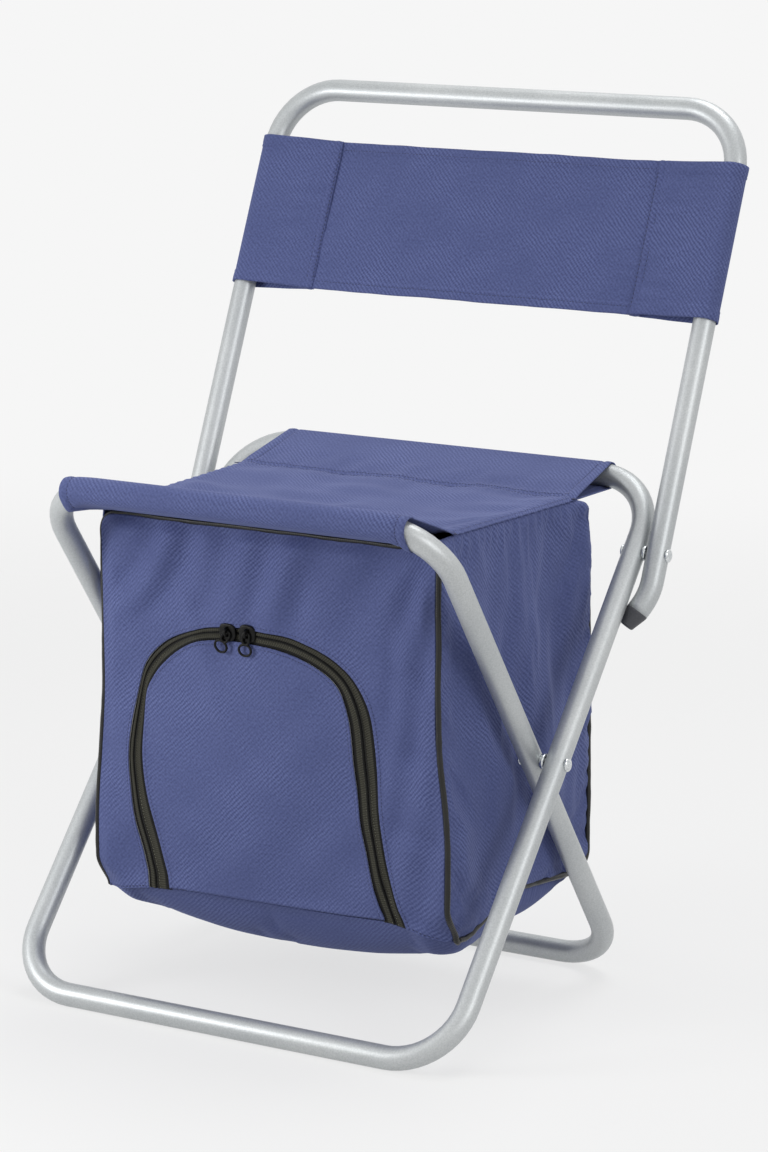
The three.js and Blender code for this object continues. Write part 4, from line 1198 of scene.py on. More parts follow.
def rail_wrap(rail, first, last, half, slant, x, count, top_share):
    """Rows of cloth round a rail. Below, it drops with the tube's bend, and above by a share of that."""
    angle = np.linspace(first, last, count)[:, None]
    toward = unit(np.array([0.0, -slant * leg_span, -leg_rise]))
    q = np.cos(angle) * toward[1] + np.sin(angle) * toward[2]
    past = np.maximum(np.abs(x) - (half - bend_radius), 0.0)
    share = top_share + (1.0 - top_share) * smooth((q + 0.35) / 0.7)
    drop = fall(bend_radius - cloth_radius * q, past) * share
    y = rail[0] + cloth_radius * np.cos(angle) + drop * toward[1]
    z = rail[1] + cloth_radius * np.sin(angle) + drop * toward[2]
    return together(x, y, z)


def touch_angles(rail, edge):
    """The angles at which straight lines from an edge touch the cloth round a rail."""
    dy, dz = edge[0] - rail[0], edge[1] - rail[1]
    middle = math.atan2(dz, dy)
    spread = math.acos(cloth_radius / math.hypot(dy, dz))
    return middle, spread


def seat_rows(columns=150):
    t = np.linspace(-1.0, 1.0, columns)[None, :]
    t = np.sign(t) * (1.0 - (1.0 - np.abs(t)) ** 1.15)
    sleeve_x = t * sleeve_half
    edge_x = (t * (bag_half - 0.4))[0]
    front_rail = (front_y, rail_z)
    rear_rail = (rear_y, rail_z)
    front_low = bag_point(edge_x, 0.0, -0.5)
    front_top = bag_point(edge_x, 22.0 * smooth((edge_x - 100.0) / 32.0), 0.6)
    rear_low = bag_point(edge_x, bag_depth - top_radius - 1.0, -0.5)
    rear_top = bag_point(edge_x, bag_depth - top_radius - 1.0, 0.6)
    middle, spread = touch_angles(front_rail, front_top[0, 1:])
    front = rail_wrap(
        front_rail, middle - spread + 2 * math.pi, middle + spread, inner_half, -1.0, sleeve_x, 60, 0.32
    )
    middle, spread = touch_angles(rear_rail, rear_top[0, 1:])
    rear = rail_wrap(
        rear_rail, middle - spread + 2 * math.pi, middle + spread, outer_half, 1.0, sleeve_x, 60, 0.32
    )
    rear = rear[::-1] if rear[0, 0, 2] < rear[-1, 0, 2] else rear
    parts = [
        front_low[None], between(front_low, front[0], 22), front, between(front[-1], front_top, 22),
        front_top[None], between(front_top, rear_top, 92), rear_top[None], between(rear_top, rear[0], 20),
        rear, between(rear[-1], rear_low, 20), rear_low[None],
    ]
    return np.concatenate(parts), np.cumsum([0] + [len(p) for p in parts])


seat_base, seat_marks = seat_rows()
seat_run = travelled(seat_base[:, 75])
print("seat cloth length:", round(seat_run[-1], 1), "mm, rows at", seat_marks.tolist())

# %% [markdown]
# The seat is laid over the bag's top board, so it is nearly flat there, with a shallow hollow and long soft
# waves. The seams pull it in: a groove runs along each side where the seat meets the bag's side, and
# another across its rear. The waves fade out on the rails, where the cloth is tight.

# %% Seat cloth
def seat_relief(base, marks, run):
    """Millimetres to move each point of the seat along its normal."""
    x = np.minimum(base[..., 0], 0.0) - np.minimum(base[:, ::-1, 0], 0.0)
    s = run[:, None]
    front_seam, rear_seam = run[marks[4]], run[marks[6]]
    on_top = smooth((s - front_seam + 14.0) / 20.0) * smooth((rear_seam + 14.0 - s) / 20.0)
    straight_front = smooth((s - run[marks[3]]) / 12.0) * smooth((front_seam - s) / 12.0)
    straight_rear = smooth((s - rear_seam) / 8.0) * smooth((run[marks[7]] + 30.0 - s) / 12.0)
    share = np.clip((s - front_seam) / (rear_seam - front_seam), 0.0, 1.0)
    hollow = -2.2 * np.sin(math.pi * share) * (1.0 - (x / bag_half) ** 2)
    soft = 1.0 * waves(x, s * 1.6, 85.0, 31) + 0.45 * waves(x, s * 1.2, 34.0, 32)
    pull = 0.5 * waves(x * 1.4, s * 0.5, 26.0, 33) * (straight_front + straight_rear)
    side = np.abs(x)
    side_seam = (0.7 - 1.9 * smooth((side - 130.6) / 3.6) + 0.35 * hill(side - 127.0, 2.6)) * on_top
    pucker = 0.28 * np.cos(2 * math.pi * s / 9.0 + 1.6 * np.cos(s / 17.0))
    pucker = pucker * smooth((side - 118.0) / 14.0) * on_top
    rear_groove = -0.9 * hill(s - rear_seam, 1.3) + 0.4 * hill(s - rear_seam - 4.0, 2.2)
    rear_pucker = 0.3 * np.cos(2 * math.pi * x / 11.0 + 2.0 * np.cos(x / 23.0))
    rear_pucker = rear_pucker * hill(s - rear_seam, 9.0)
    inner = smooth((134.0 - side) / 20.0)
    hem = (0.35 * hill(side - 128.0, 2.2) - 0.6 * hill(side - 124.5, 1.1)) * (1.0 - on_top)
    lift = hollow * on_top + soft * on_top * inner + pull * inner + side_seam + pucker + hem
    return lift + (rear_groove + rear_pucker) * smooth((133.0 - side) / 6.0)


seat_grid, seat_normals = displaced(seat_base, seat_relief(seat_base, seat_marks, seat_run))
seat_map = together(seat_base[..., 0], seat_run[:, None])
seat_cloth = surface("seat_cloth", [seat_grid], [seat_map])
thicken(seat_cloth, 0.9)
finish(
    seat_cloth, blue_cloth, None, "seat_panel", "seat_rear_strip", "front_rail_sleeve", "rear_rail_sleeve",
    slot="blue_cloth",
)
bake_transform(seat_cloth)

# %% Seat stitches
def along_column(grid, normals, x, first, last):
    """The line on a grid where its place across has a given value, between two rows."""
    rows = slice(first, last)
    columns = np.arange(grid.shape[1])
    wanted = np.interp(x, grid[(first + last) // 2, :, 0], columns)
    low = int(wanted)
    share = wanted - low
    line = grid[rows, low] * (1 - share) + grid[rows, low + 1] * share
    return line, normals[rows, low] * (1 - share) + normals[rows, low + 1] * share


def seat_stitches():
    """Rows along both sides and the hems, two rows along the rear seam, and a bartack at each corner."""
    m = seat_marks
    stacks = []
    for hand in (-1, 1):
        line, normal = along_column(seat_grid, seat_normals, -131.6 if hand < 0 else 127.8, m[4], m[6])
        stacks.append(stitch_grids(line + 0.45 * normal, normal))
        for first, last in ((m[2], m[4]), (m[6], m[8])):
            line, normal = along_column(seat_grid, seat_normals, hand * 124.5, first, last)
            stacks.append(stitch_grids(line + 0.45 * normal, normal))
    for beside in (-2.2, 2.2):
        row = np.searchsorted(seat_run, seat_run[m[6]] + beside)
        normal = seat_normals[row, 4:-4]
        stacks.append(stitch_grids(seat_grid[row, 4:-4] + 0.45 * normal, normal))
    for hand in (-1, 1):
        for row in (m[4], m[6]):
            column = 1 if hand < 0 else -2
            centre, normal = seat_grid[row, column], seat_normals[row, column]
            step = np.linspace(-4.0, 4.0, 12)
            for shift in (-1.0, -0.3, 0.4, 1.1):
                line = centre + step[:, None] * unit(np.array([0.9 * hand, -1.0, 0.0])) + shift * across * 1.6
                normals = np.broadcast_to(normal, (12, 3))
                stacks.append(stitch_grids(line + 0.7 * normal, normals, 1.4, 1.3, 0.8))
    piece = stitch_piece("seat_stitches", stacks, dark_thread)
    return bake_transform(piece)


seat_thread = seat_stitches()
print("seat stitch faces:", len(seat_thread.data.polygons))

# %% [markdown]
# ## The bag's front and its arched zip
# The zip's two edges were measured as rows of points and are drawn as smooth curves. Between them lies the
# zip, narrow over the left shoulder and the top, and wider down the right leg, where the cloth has pulled
# away. The zip's middle line lies nearer its outer edge on the left. The front panel is a grid between the
# outer edge and the panel's border. The flap is a grid of rows between the two sides of the inner edge. One
# function says how far the whole front bulges and waves, so all the layers agree.

# %% Front shape
border = 3.2
mirrored = np.array([-1.0, 1.0])
front_low = -262.2
outer_marks = [
    (-93.6, -262.2), (-103.5, -215.0), (-108.5, -169.6), (-106.9, -133.0), (-99.1, -105.3), (-82.5, -87.2),
    (-57.6, -75.5), (-35.4, -70.2), (-3.3, -69.0), (28.0, -73.1), (55.1, -84.4), (74.6, -105.9),
    (81.3, -136.3), (84.3, -181.7), (90.0, -224.2), (103.2, -262.2),
]
inner_marks = [
    (-78.0, -262.2), (-88.0, -215.0), (-96.1, -180.3), (-98.6, -131.9), (-91.0, -111.3), (-76.2, -95.5),
    (-57.7, -84.2), (-39.4, -80.2), (-3.3, -78.9), (28.0, -84.6), (51.3, -97.0), (61.9, -118.5),
    (65.6, -157.6), (70.6, -200.9), (76.6, -231.8), (86.6, -262.2),
]
arch_count = 361
outer_edge = spline(outer_marks, arch_count)
inner_edge = spline(inner_marks, arch_count)
toward_outer = 0.64 - 0.14 * smooth((np.linspace(0.0, 1.0, arch_count)[:, None] - 0.5) / 0.25)
middle_edge = outer_edge * toward_outer + inner_edge * (1.0 - toward_outer)


def front_out(x, z):
    """How far the front stands out in front of its plane: a soft crown, long waves and a few creases."""
    inset = np.minimum(np.minimum(bag_half - np.abs(x), -z), z + bag_height)
    share = np.clip(-z / bag_height, 0.0, 1.0)
    crown = 9.0 * (1.0 - (x / bag_half) ** 2) ** 0.8 * np.sin(math.pi * share**0.62) ** 0.9
    slow = 1.4 * waves(x, z * 0.8, 95.0, 41) + 0.6 * waves(x * 1.2, z, 44.0, 42)
    high = smooth((z + 92.0) / 45.0)
    slope = x * 0.86 - z * 0.5
    rays = 2.5 * high * np.cos(slope / 5.2 + 1.1 * np.cos(z / 21.0 + x / 60.0) + 0.9 * np.cos(x / 33.0))
    rays = rays * (0.45 + 0.55 * smooth(0.5 + 0.6 * waves(x, z, 90.0, 43)))
    left = 1.5 * hill(x + 0.35 * z + 82.0, 8.0)
    left = left * smooth((z + 190.0) / 60.0) * smooth((-30.0 - z) / 40.0)
    beside = smooth((x - 78.0) / 18.0) * smooth((-45.0 - z) / 40.0)
    right = 1.3 * np.cos((x - 0.16 * z) / 4.6 + 1.3 * np.cos(z / 37.0)) - 1.2 * smooth((x - 100.0) / 30.0)
    right = beside * right
    outer = smooth((-88.0 - x) / 16.0) * smooth((-70.0 - z) / 40.0)
    lines = 90.0, 143.0, 196.0
    dents = sum(hill(z + line + 0.25 * (x - 110.0), 8.0) for line in lines)
    right = right - 2.4 * dents * smooth((x - 84.0) / 24.0)
    edge = 1.1 * outer * np.cos(z / 13.0 + x / 9.0 + 1.2 * np.cos(z / 41.0))
    foot = 0.7 * smooth((-215.0 - z) / 35.0) * np.cos(x / 11.0 + 1.1 * np.cos(x / 31.0))
    return (crown + slow + rays + left + right + edge + foot) * smooth((inset - 0.5) / 12.0)


def front_point(x, z, lift=0.0):
    """A point of the front: lift counts outwards from the cloth's middle."""
    return bag_point(x, 2.0 - front_out(x, z) - lift, z)


def border_line(count):
    """The panel's border from its left foot, up, over two rounded corners and down to its right foot."""
    half, low, top, corner, foot = bag_half - border, front_low, -border, 11.0, 3.0
    turn = np.linspace(0.0, math.pi / 2, 9)
    left = together(-half + corner - corner * np.cos(turn), top - corner + corner * np.sin(turn))
    right = together(half - corner + corner * np.sin(turn), top - corner + corner * np.cos(turn))
    turn = turn[::-1]
    foot_left = together(-half + foot - foot * np.cos(turn), low + foot - foot * np.sin(turn))
    foot_right = together(half - foot + foot * np.cos(turn), low + foot - foot * np.sin(turn))[::-1]
    line = np.concatenate([[[-93.6, low]], foot_left, left, right, foot_right, [[103.2, low]]])
    over = 2.7 * smooth((-line[:, 0] - 120.0) / 10.0) * smooth((line[:, 1] - low - 6.0) / 26.0)
    line[:, 0] = line[:, 0] - over
    return resample(line, count)


def front_panel(rows=60):
    """Rows run from the zip's outer edge to the border; columns run round the arch from foot to foot."""
    share = np.linspace(0.0, 1.0, rows)[:, None, None]
    flat = outer_edge[None] * (1.0 - share) + border_line(arch_count)[None] * share
    x, z = flat[..., 0], flat[..., 1]
    lip = 0.5 * hill(np.linalg.norm(flat - outer_edge[None], axis=-1), 2.2)
    return front_point(x, z, lip), flat * mirrored


def front_flap(rows=150, columns=130):
    """Rows join the two sides of the inner edge, from the foot up to the top of the arch."""
    half = arch_count // 2
    left = resample(inner_edge[: half + 1], rows)
    right = resample(inner_edge[half:][::-1], rows)
    share = np.linspace(0.0, 1.0, columns)[None, :, None]
    flat = left[:, None] * (1.0 - share) + right[:, None] * share
    flat[..., 1] = flat[..., 1] + 1.4 * smooth((-250.0 - flat[..., 1]) / 12.0)
    x, z = flat[..., 0], flat[..., 1]
    edge = np.minimum(share[..., 0], 1.0 - share[..., 0]) * np.linalg.norm(right - left, axis=1)[:, None]
    lip = 0.5 * hill(edge, 2.2) + 0.5 * hill(z - left[-1, 1], 3.0)
    puff = 1.2 * smooth(edge / 30.0) * smooth((-80.0 - z) / 30.0)
    return front_point(x, z, lip + puff), flat * mirrored


panel_grid, panel_map = front_panel()
panel_grid = settle(panel_grid, 0.035, 1.5, 4.0, step=(4, 4))
bag_front = surface("bag_front_cloth", [panel_grid], [panel_map], flip=True)
thicken(bag_front, 0.9)
finish(bag_front, blue_cloth, "inner_frame", "bag_front_panel", slot="blue_cloth")
flap_grid, flap_map = front_flap()
flap_grid = settle(flap_grid, 0.012, 1.5, 3.0)
flap_cloth = surface("flap_cloth", [flap_grid], [flap_map])
thicken(flap_cloth, 0.9)
finish(flap_cloth, blue_cloth, "flap", "bag_flap", slot="blue_cloth")


def flat_area(flat):
    """The area of a flat grid in square metres: the sum of its cells' cross products."""
    a = flat[1:, 1:] - flat[:-1, :-1]
    b = flat[1:, :-1] - flat[:-1, 1:]
    return float(np.abs(a[..., 0] * b[..., 1] - a[..., 1] * b[..., 0]).sum() / 2 * 1e-6)


print("front and flap area:", round(flat_area(panel_map), 4), round(flat_area(flap_map), 4))

# %% [markdown]
# ## The zip
# Each half of the zip is a strip between the middle line and one edge. In section it starts under the
# cloth's edge, rises to a low rib beside the middle, where the coil lies hidden behind the tape, and drops
# into the narrow dark gap between the halves. The outer half stays with the bag and the inner half with the
# flap.

# %% Zip tapes
def tape_half(edge, columns=18):
    """Columns run from the middle line to the edge; the height is a rib near the middle and a dip at each
    end."""
    w = np.linspace(0.0, 1.0, columns)[None, :]
    flat = middle_edge[:, None] * (1.0 - w[..., None]) + edge[:, None] * w[..., None]
    width = np.linalg.norm(edge - middle_edge, axis=1)[:, None]
    d = w * width
    rib = 1.5 * smooth(d / 0.9) * (1.0 - 0.35 * smooth((d - 1.6) / 1.0))
    rib = rib - 1.3 * smooth((d - width + 1.6) / 1.2)
    beyond = flat + (edge - middle_edge)[:, None] / width[..., None] * (2.5 * w**3)[..., None]
    x, z = beyond[..., 0], beyond[..., 1]
    along = travelled(middle_edge)[:, None]
    cloth_map = together(along, 10.0 * (d + 2.5 * w**3) / width)
    return front_point(x, z, rib - 1.55), cloth_map


for name, edge, body, node in (
    ("zip_tape_outer", outer_edge, "inner_frame", "zip_tape_panel"),
    ("zip_tape_inner", inner_edge, "flap", "zip_tape_flap"),
):
    tape_grid, tape_map = tape_half(edge)
    tape = surface(name, [tape_grid], [tape_map], flip=edge is inner_edge)
    thicken(tape, 0.5)
    finish(tape, zip_tape, body, node, slot="zip_tape")


def tape_stitches(name, edge, body, feet):
    """Two rows along a tape, pale on the tape and dark on the cloth's edge, and dark rows along the front's
    foot."""
    width = np.linalg.norm(edge - middle_edge, axis=1)[:, None]
    outward = (edge - middle_edge) / width
    normal = np.broadcast_to(-bag_back, (arch_count, 3))
    on_tape = middle_edge + outward * 2.4
    on_cloth = edge + outward * 2.4
    light = stitch_grids(front_point(on_tape[:, 0], on_tape[:, 1], -0.35), normal, length=1.3, thick=0.4)
    dark = stitch_grids(front_point(on_cloth[:, 0], on_cloth[:, 1], 0.6), normal)
    rows = [dark]
    for first, last in feet:
        x = np.linspace(first, last, 60)
        foot = front_point(x, np.full(60, front_low + 1.6), 0.6)
        rows.append(stitch_grids(foot, np.broadcast_to(-bag_back, (60, 3)), 2.6, 1.7, 0.8))
    stitch_piece(f"{name}_stitches_pale", [light], pale_thread, body)
    stitch_piece(f"{name}_stitches_dark", rows, dark_thread, body)


tape_stitches("zip_outer", outer_edge, "inner_frame", [(-126.0, -97.0), (107.0, 124.0)])
tape_stitches("zip_inner", inner_edge, "flap", [(-74.0, 83.0)])
print("zip length:", round(line_length(middle_edge), 1), "mm")

# %% [markdown]
# ## Sliders and pulls
# Two sliders meet left of the top of the arch. A slider is a small shield with rounded edges and a bent
# bridge. Its pull is one bent wire: a long eye that hangs on the bridge, and a finger ring below it. The
# pulls hang at different angles. Every part is a tube along a small closed path, or a shield whose outline
# shrinks as it rises.

# %% Sliders and pulls
arch_centre = -10.5
arch_radius = 140.0
arch_middle = -bag_height + 189.0 - arch_radius


def slider_place(offset):
    """The slider's middle on the zip's top arc, and the swing of its own axes."""
    swing = math.asin(offset / arch_radius)
    x = arch_centre + arch_radius * math.sin(swing)
    z = arch_middle + arch_radius * math.cos(swing)
    return x, z, swing


def slider_frame(offset, turn, u, v, out):
    """Points from a flat drawing (u along the zip, v up) turned by an angle, at a height off the bag's
    front."""
    x, z, swing = slider_place(offset)
    a = swing + turn
    u, v, out = np.broadcast_arrays(u, v, out)
    px = x + u * math.cos(a) + v * math.sin(a)
    pz = z - u * math.sin(a) + v * math.cos(a)
    base = 2.0 - front_out(np.array(x), np.array(z))
    return bag_point(px, base - out, pz)


def shield(offset, sides=40):
    """Rings of a rounded outline: they keep their size up the wall, shrink over the edge and close on top."""
    a = np.linspace(0.0, 2 * math.pi, sides + 1)[None, :]
    turn = np.linspace(0.0, math.pi / 2, 7)
    size = np.concatenate([[0.0, 0.96, 1.0], 0.82 + 0.18 * np.cos(turn), [0.5, 0.0]])[:, None]
    out = np.concatenate([[0.1, 0.1, 0.3], 1.9 + 0.7 * np.sin(turn), [2.7, 2.7]])[:, None]
    r = (np.abs(np.cos(a)) ** 3 + np.abs(np.sin(a)) ** 3) ** (-1.0 / 3.0)
    u = 6.3 * size * r * np.cos(a)
    v = 1.2 + 6.2 * size * r * np.sin(a) * (1.0 - 0.12 * np.cos(a))
    return slider_frame(offset, 0.0, u, v, out + 0.0 * a)


def bridge(offset):
    """A flat bent strap over the shield: a tube with a low oval section along an arched path."""
    t = np.linspace(0.0, math.pi, 25)
    path = slider_frame(offset, 0.0, 0.0 * t, 2.0 + 2.6 * np.cos(t), 2.3 + 3.5 * np.sin(t) ** 0.7)
    return tube(path, 1.0, across, sides=14)


def wire_loop(offset, hang, u, v, out, wire, sides=12):
    """A closed wire along a flat drawing that hangs at an angle from the slider."""
    path = slider_frame(offset, hang, u, v, out)
    return tube(path, wire, -bag_back, sides=sides, closed=True)


def pull_loops(offset, hang):
    """The eye is a short stadium 6.8 wide and the ring an oval 11.1 by 9.3, both of wire 1.7 thick."""
    a = np.linspace(0.0, 2 * math.pi, 49)[:-1]
    eye_u = 2.55 * np.cos(a)
    eye_v = 2.55 * np.sin(a) - np.where(np.sin(a) < 0.0, 3.0, 0.0)
    eye_out = 3.6 + 0.0 * a
    ring_u = 4.7 * np.cos(a)
    ring_v = 3.8 * np.sin(a) - 9.4
    ring_out = 3.65 + 0.0 * a
    eye = wire_loop(offset, hang, eye_u, eye_v, eye_out, 0.85)
    ring = wire_loop(offset, hang, ring_u, ring_v, ring_out, 0.85)
    return [eye, ring]


for side, offset, hang in (("left", -17.5, math.radians(36.0)), ("right", -1.1, math.radians(5.5))):
    body = surface(f"slider_{side}_shield", [shield(offset)])
    finish(body, zip_metal, f"slider_{side}", f"zip_slider_{side}", slot="zip_metal")
    strap = surface(f"slider_{side}_bridge", [bridge(offset)])
    finish(strap, zip_metal, f"slider_{side}", slot="zip_metal")
    pull = surface(f"pull_{side}_wire", pull_loops(offset, hang))
    finish(pull, zip_metal, f"pull_{side}", f"zip_pull_{side}", slot="zip_metal")
print("sliders at x", [round(slider_place(o)[0], 1) for o in (-17.5, -1.1)])

# %% [markdown]
# ## The bag's sides, back and bottom
# The bag is a shell of padded cloth that sags. The bottom and the back are one strip, which turns up at the
# rear over a rounded corner, and each side is a panel sewn to its edges. The strip's rear top is round too.
# The filled bag pushes them out: the bottom hangs by up to 40 mm at its front, the back stands out by about
# 13 mm, and the sides fall in soft upright folds. A strip is a line in section carried across, and a side
# is a grid whose foot follows the same rounded corner.

# %% Bag shell
belly = 35.0
front_drop = 11.0
seam_inset = 2.2
low_z = -bag_height - 0.3
rear_in = bag_depth - seam_inset
corner_radius = 14.0 - seam_inset


def strip_section(count=200):
    """Along the bottom, round a quarter circle and up the back, with even steps."""
    turn = np.linspace(-math.pi / 2, 0.0, 12)
    corner_y = rear_in - corner_radius + corner_radius * np.cos(turn)
    corner_z = low_z + corner_radius + corner_radius * np.sin(turn)
    start = [[3.2, low_z + 0.4], [2.9, low_z - 0.3], [4.6, low_z - 0.5]]
    turn = turn + math.pi / 2
    top_y = rear_in - top_radius + top_radius * np.cos(turn)
    top = together(top_y, top_radius * np.sin(turn) - top_radius)
    line = np.concatenate([start, together(corner_y, corner_z), top - [0.0, 0.8]])
    return resample(line, count)


def strip_grid(inset, columns=150):
    """The strip's points, moved in by an inset; the bulge is largest in the middle of each straight part."""
    line = strip_section()
    t = np.linspace(-1.0, 1.0, columns)[None, :]
    t = np.sign(t) * (1.0 - (1.0 - np.abs(t)) ** 1.2)
    x = t * (bag_half - seam_inset)
    base = bag_point(x, line[:, :1], line[:, 1:])
    run = np.linspace(0.0, 1.0, len(line))[:, None]
    reach = line_length(line)
    s = run * reach
    turn_at = (rear_in - seam_inset) / reach
    steep = 0.5 - 0.22 * smooth(s / 90.0)
    bottom = (1.0 - np.exp(-np.maximum(s - 2.2, 0.0) / front_drop)) * smooth((turn_at * reach - s) / 75.0)
    bottom = bottom * (1.0 - t**2) ** steep
    back = np.sin(math.pi * np.clip((run - turn_at) / (1.0 - turn_at), 0.0, 1.0)) ** 0.9 * (1.0 - t**2) ** 0.7
    mask = smooth((bag_half - np.abs(x)) / 22.0) * smooth(s / 20.0) * smooth((reach - s) / 20.0)
    soft = 1.1 * waves(x, s, 100.0, 51) + 0.5 * waves(x, s * 1.2, 48.0, 52)
    soft = soft * (0.3 + 0.7 * smooth((s - 120.0) / 80.0))
    grid, _ = displaced(base, inset - 8.0 * back - soft * mask)
    grid = grid - bag_up * (belly * bottom)[..., None]
    along = np.cumsum(np.linalg.norm(np.diff(grid, axis=0, prepend=grid[:1]), axis=-1), axis=0)
    return grid, together(x, along), reach


def side_grid(hand, inset, rows=150, columns=150):
    """Rows from the foot to the top; columns from the front to the rear. Folds run upwards and fade at
    seams."""
    y = np.linspace(seam_inset, rear_in, columns)[None, :]
    past = np.clip(y - (rear_in - corner_radius), 0.0, corner_radius)
    foot = low_z + fall(np.full_like(past, corner_radius), past * 0.999)
    past = np.clip(y - (rear_in - top_radius), 0.0, top_radius)
    top = -0.9 - fall(np.full_like(past, top_radius), past * 0.999)
    share = np.linspace(0.0, 1.0, rows)[:, None]
    z = foot * (1.0 - share) + top * share
    base = bag_point(hand * (bag_half - seam_inset) + 0.0 * z, y + 0.0 * z, z)
    edge = np.minimum(np.minimum(y - seam_inset, rear_in - y), np.minimum(z - low_z, -z))
    crown = np.sin(math.pi * np.clip(y / bag_depth, 0, 1)) ** 0.6
    crown = crown * np.sin(math.pi * np.clip(-z / bag_height, 0, 1)) ** 0.5
    upright = smooth((-z - 14.0) / 60.0) * (0.35 + 0.65 * smooth((z + bag_height - 20.0) / 90.0))
    folds = 3.4 * np.cos(2 * math.pi * (y + 12.0 * np.cos(z / 75.0) + 0.14 * z) / 68.0 + 2.4 * hand) * upright
    minor = 0.7 * np.cos(2 * math.pi * (y - 0.12 * z) / 23.0 + 2.0 * hand)
    minor = minor * upright * smooth((y - 30.0) / 60.0)
    soft = 1.1 * waves(y, z * 0.6, 80.0, 61 + hand) + 0.5 * waves(y, z, 34.0, 64 + hand)
    pucker = 0.25 * np.cos(2 * math.pi * y / 9.5 + 1.4 * np.cos(y / 14.0)) * hill(z + 5.0, 7.0)
    shoulder = 1.6 * hill(z + 7.0, 6.0)
    shoulder = shoulder + 3.2 * hill(y - 191.0, 9.0) * smooth((z + 200.0) / 60.0)
    lift = 1.8 * crown + (folds + minor + soft) * smooth((edge - 1.5) / 22.0)
    lift = lift + (pucker + shoulder) * smooth((-z) / 3.0)
    lift = np.clip(lift, -4.0, 5.2) * smooth(edge / 2.5) - inset
    grid = base + hand * lift[..., None] * across
    return grid, together(hand * y, z)


squash_anchor = tuple(bag_point(0.0, 12.0, 0.0) * 0.001)


def collapses(piece):
    """Gives the piece a mesh of its own; nothing here folds the bag flat between the legs as the stool folds.
    """
    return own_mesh(piece)


strip, strip_map, strip_reach = strip_grid(0.0)
strip = settle(strip, 0.004, -0.6, 3.0, step=(4, 4))
bag_strip = surface("bag_bottom_and_back", [strip], [strip_map])
thicken(bag_strip, 0.9)
finish(bag_strip, blue_cloth, "inner_frame", "bag_bottom_panel", "bag_back_panel", slot="blue_cloth")
collapses(bag_strip)
for side, hand in (("left", -1), ("right", 1)):
    grid, cloth_map = side_grid(hand, 0.0)
    grid = settle(grid, 0.03, 1.0 * hand, 3.0)
    wall = surface(f"bag_side_{side}", [grid], [cloth_map], flip=hand < 0)
    thicken(wall, 0.9)
    finish(wall, blue_cloth, "inner_frame", f"bag_side_panel_{side}", slot="blue_cloth")
    collapses(wall)

# %% [markdown]
# ## Piping
# A black cord in a tape stiffens the seams: one run goes round the front panel and curls into the bottom
# corners, and one on each side goes along the foot, round the rear corner, up the back and over the rounded
# top. Each is a circle along a path, with a narrow flange towards the seam left out, because it is hidden.
# The cord wanders a little, as sewn cords do.

# %% Piping
def piping_cord(name, line, body, node, above, radius=2.0, wander=0.35, seed=71, taper=0.0):
    """A tube along a line of points in the bag's frame; its map runs along it for the ribs of the tape."""
    line = resample(np.asarray(line, float), 420)
    run = travelled(line)
    ease = smooth(np.minimum(run, run[-1] - run) / 15.0)
    line = line + (wander * ease * waves(run, 0.0 * run, 38.0, seed))[:, None] * np.array([0.6, 0.0, 0.4])
    line = line + (wander * ease * waves(run, 0.0 * run, 55.0, seed + 1))[:, None] * np.array([0.0, 0.5, 0.4])
    path = bag_point(line[:, 0], line[:, 1], line[:, 2])
    print(name, "length:", round(line_length(path), 1), "mm")
    thin = 1.0 - taper * smooth(1.0 - run / 22.0)
    grid = tube(path, radius * thin * (1.0 + 0.04 * waves(run, 0.0 * run, 12.0, seed + 2)), above, sides=20)
    mapped = np.concatenate([[run[0]], run, [run[-1]]])
    cloth_map = together(mapped[:, None], np.linspace(0.0, 12.6, 21)[None])
    return finish(surface(name, [grid], [cloth_map]), piping_black, body, *node, slot="piping_cord")


def front_piping_line():
    """Up the left edge, over the top and down the right edge. Each foot turns back towards the side's
    cord."""
    half, top, low, corner = bag_half - 1.6, -2.4, -bag_height + 0.5, 13.0
    turn = np.linspace(0.0, math.pi / 2, 10)
    c1 = together(-half + corner - corner * np.cos(turn), 2.4, top - corner + corner * np.sin(turn))
    c2 = together(half - corner + corner * np.sin(turn), 2.4, top - corner + corner * np.cos(turn))
    rise = np.linspace(0.0, 230.0, 60)[:, None]
    f1 = np.array([[-half, 2.4, low]]) + rise * np.array([[0.0, 0.0, 1.0]])
    f2 = (np.array([[half, 2.4, low]]) + rise * np.array([[0.0, 0.0, 1.0]]))[::-1]
    line = np.concatenate([[[-half, 5.5, low - 1.6]], f1, c1, c2, f2, [[half, 5.5, low - 1.6]]])
    left = smooth((-line[:, 0] - 118.0) / 12.0)
    return line + left[:, None] * np.array([-1.6, 1.5, 0.0])


def side_piping_line(hand):
    """Along the foot from the front, round the rear corner and up the back edge."""
    x = hand * (bag_half - 1.6)
    turn = np.linspace(-math.pi / 2, 0.0, 12)
    y = bag_depth - 14.0 + 12.0 * np.cos(turn)
    z = -bag_height + 12.4 + 12.0 * np.sin(turn)
    foot = np.linspace(6.0 if hand > 0 else 18.0, bag_depth - 16.0, 60)
    first = together(np.full(60, x), foot, np.full(60, -bag_height + 0.4))
    turn = turn + math.pi / 2
    end_y = bag_depth - 2.0 - top_radius + top_radius * np.cos(turn)
    end_z = top_radius * np.sin(turn) - top_radius - 2.0
    rise = together(np.full(12, x - 3.0 * hand), end_y, end_z)
    corner = together(np.full(12, x), y, z)
    return np.concatenate([first, corner, [[x, bag_depth - 2.0, -200.0]], rise])


piping_cord("front_piping", front_piping_line(), "inner_frame", ["piping_front"], -bag_back, taper=0.55)
for side, hand in (("left", -1), ("right", 1)):
    line = side_piping_line(hand)
    node = [f"piping_side_{side}"]
    collapses(piping_cord(f"side_piping_{side}", line, "inner_frame", node, across, seed=81 + hand))
